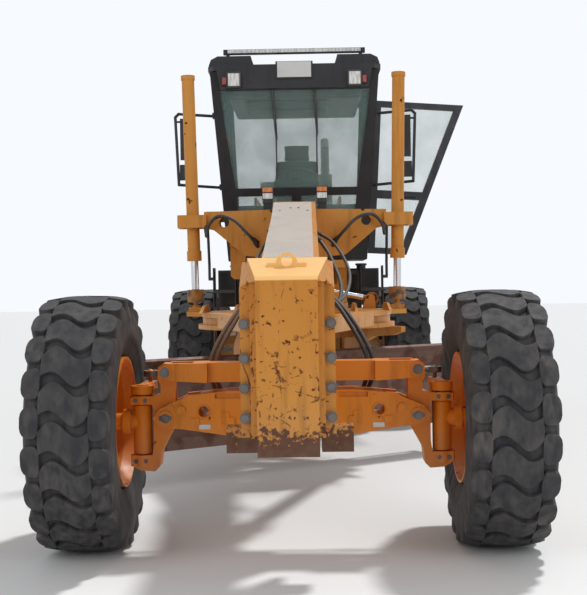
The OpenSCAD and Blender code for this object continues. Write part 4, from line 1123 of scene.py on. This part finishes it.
def makeCushion(name, low, high, crown):
    bm = bmesh.new()
    addBox(bm, low, high)
    bmesh.ops.subdivide_edges(bm, edges=bm.edges, cuts=padForm["cuts"], use_grid_fill=True)
    mid = (Vector(low) + Vector(high)) / 2
    size = Vector(high) - Vector(low)
    lies = size.y > size.z  # the back and the head rest stand
    long = 1 if lies else 2
    for v in bm.verts:
        p = v.co - mid
        u, w = 2 * p.x / size.x, 2 * p[long] / size[long]
        full = (1 - u * u) * (1 - w * w)
        if lies:
            v.co.z += crown * full * (1 if p.z > 0 else padForm["under"])
        else:
            v.co.y -= crown * full * (1 if p.y < 0 else -padForm["under"])
        if abs(u) > padForm["edge"]:  # the sides pull in between the corners
            v.co.x -= math.copysign(padForm["pullIn"] * (1 - w * w), p.x)
    bmesh.ops.smooth_vert(bm, verts=bm.verts, factor=padForm["smooth"], use_axis_x=True, use_axis_y=True,
                          use_axis_z=True)
    obj = piece(name, bm, "cloth", "rear_body")
    sub = obj.modifiers.new("round", "SUBSURF")
    sub.levels = sub.render_levels = padForm["levels"]


seatPost = {"y": 4.92, "low": 1.671, "high": 1.80, "r": 0.15, "sides": 40,
            "folds": 5, "foldZ": 1.70, "foldTall": 0.025, "foldApart": 0.035, "foldR": 0.165, "foldIn": 0.006}
seatFrame = {"plates": (((-0.20, 4.75, 1.865), (0.20, 5.11, 1.905)),
                        ((-0.16, 5.09, 1.88), (0.16, 5.17, 2.05))),
             "armX": 0.255, "armHalf": 0.025, "armY": (5.07, 5.12), "armZ": (1.92, 2.20),
             "pinX": 0.06, "pinLow": (5.18, 2.55), "pinHigh": (5.185, 2.68), "pinR": 0.008, "bevel": 0.006}


def makeSeatFrame():
    form, post = seatFrame, seatPost
    bm = bmesh.new()
    addPost(bm, 0, post["y"], post["low"], post["high"], post["r"], post["sides"])
    for i in range(post["folds"]):  # the folds of the bellows round the post
        z = post["foldZ"] + post["foldApart"] * i
        r = post["foldR"] - post["foldIn"] * (i % 2)
        addPost(bm, 0, post["y"], z, z + post["foldTall"], r, post["sides"])
    for low, high in form["plates"]:
        addBox(bm, low, high)
    (front, back), (low, high), half = form["armY"], form["armZ"], form["armHalf"]
    for s in (1, -1):
        addBox(bm, (s * form["armX"] - half, front, low), (s * form["armX"] + half, back, high))
        x = s * form["pinX"]
        addRod(bm, (x, *form["pinLow"]), (x, *form["pinHigh"]), form["pinR"], 12)
    frameObj = piece("seatFrame", bm, "plastic", "rear_body", form["bevel"])
    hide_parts("operator_seat")


def makeSeat():
    for name, pad in seatPads.items():
        makeCushion(name, pad["low"], pad["high"], pad["crown"])
    makeSeatFrame()
    print("seat made")


makeCamera()
makeMaterials()
makeLights()
makeSky()
makeFloor()
dressNodes()
makeTyres()
makeBolts()
makeNoseBlock()
makeGooseneckCover()
makeHoses()
makeAxleHoses()
makeTailLamps()
makeRearFrameBolts()
makeHoodLatches()
makeStepStuds()
makeStackBands()
makeTankCaps()
makeTandemBolts()
makeBladeBolts()
makeDrawbarBolts()
makeCab()
makeLamps()
makePlates()
makeSeat()
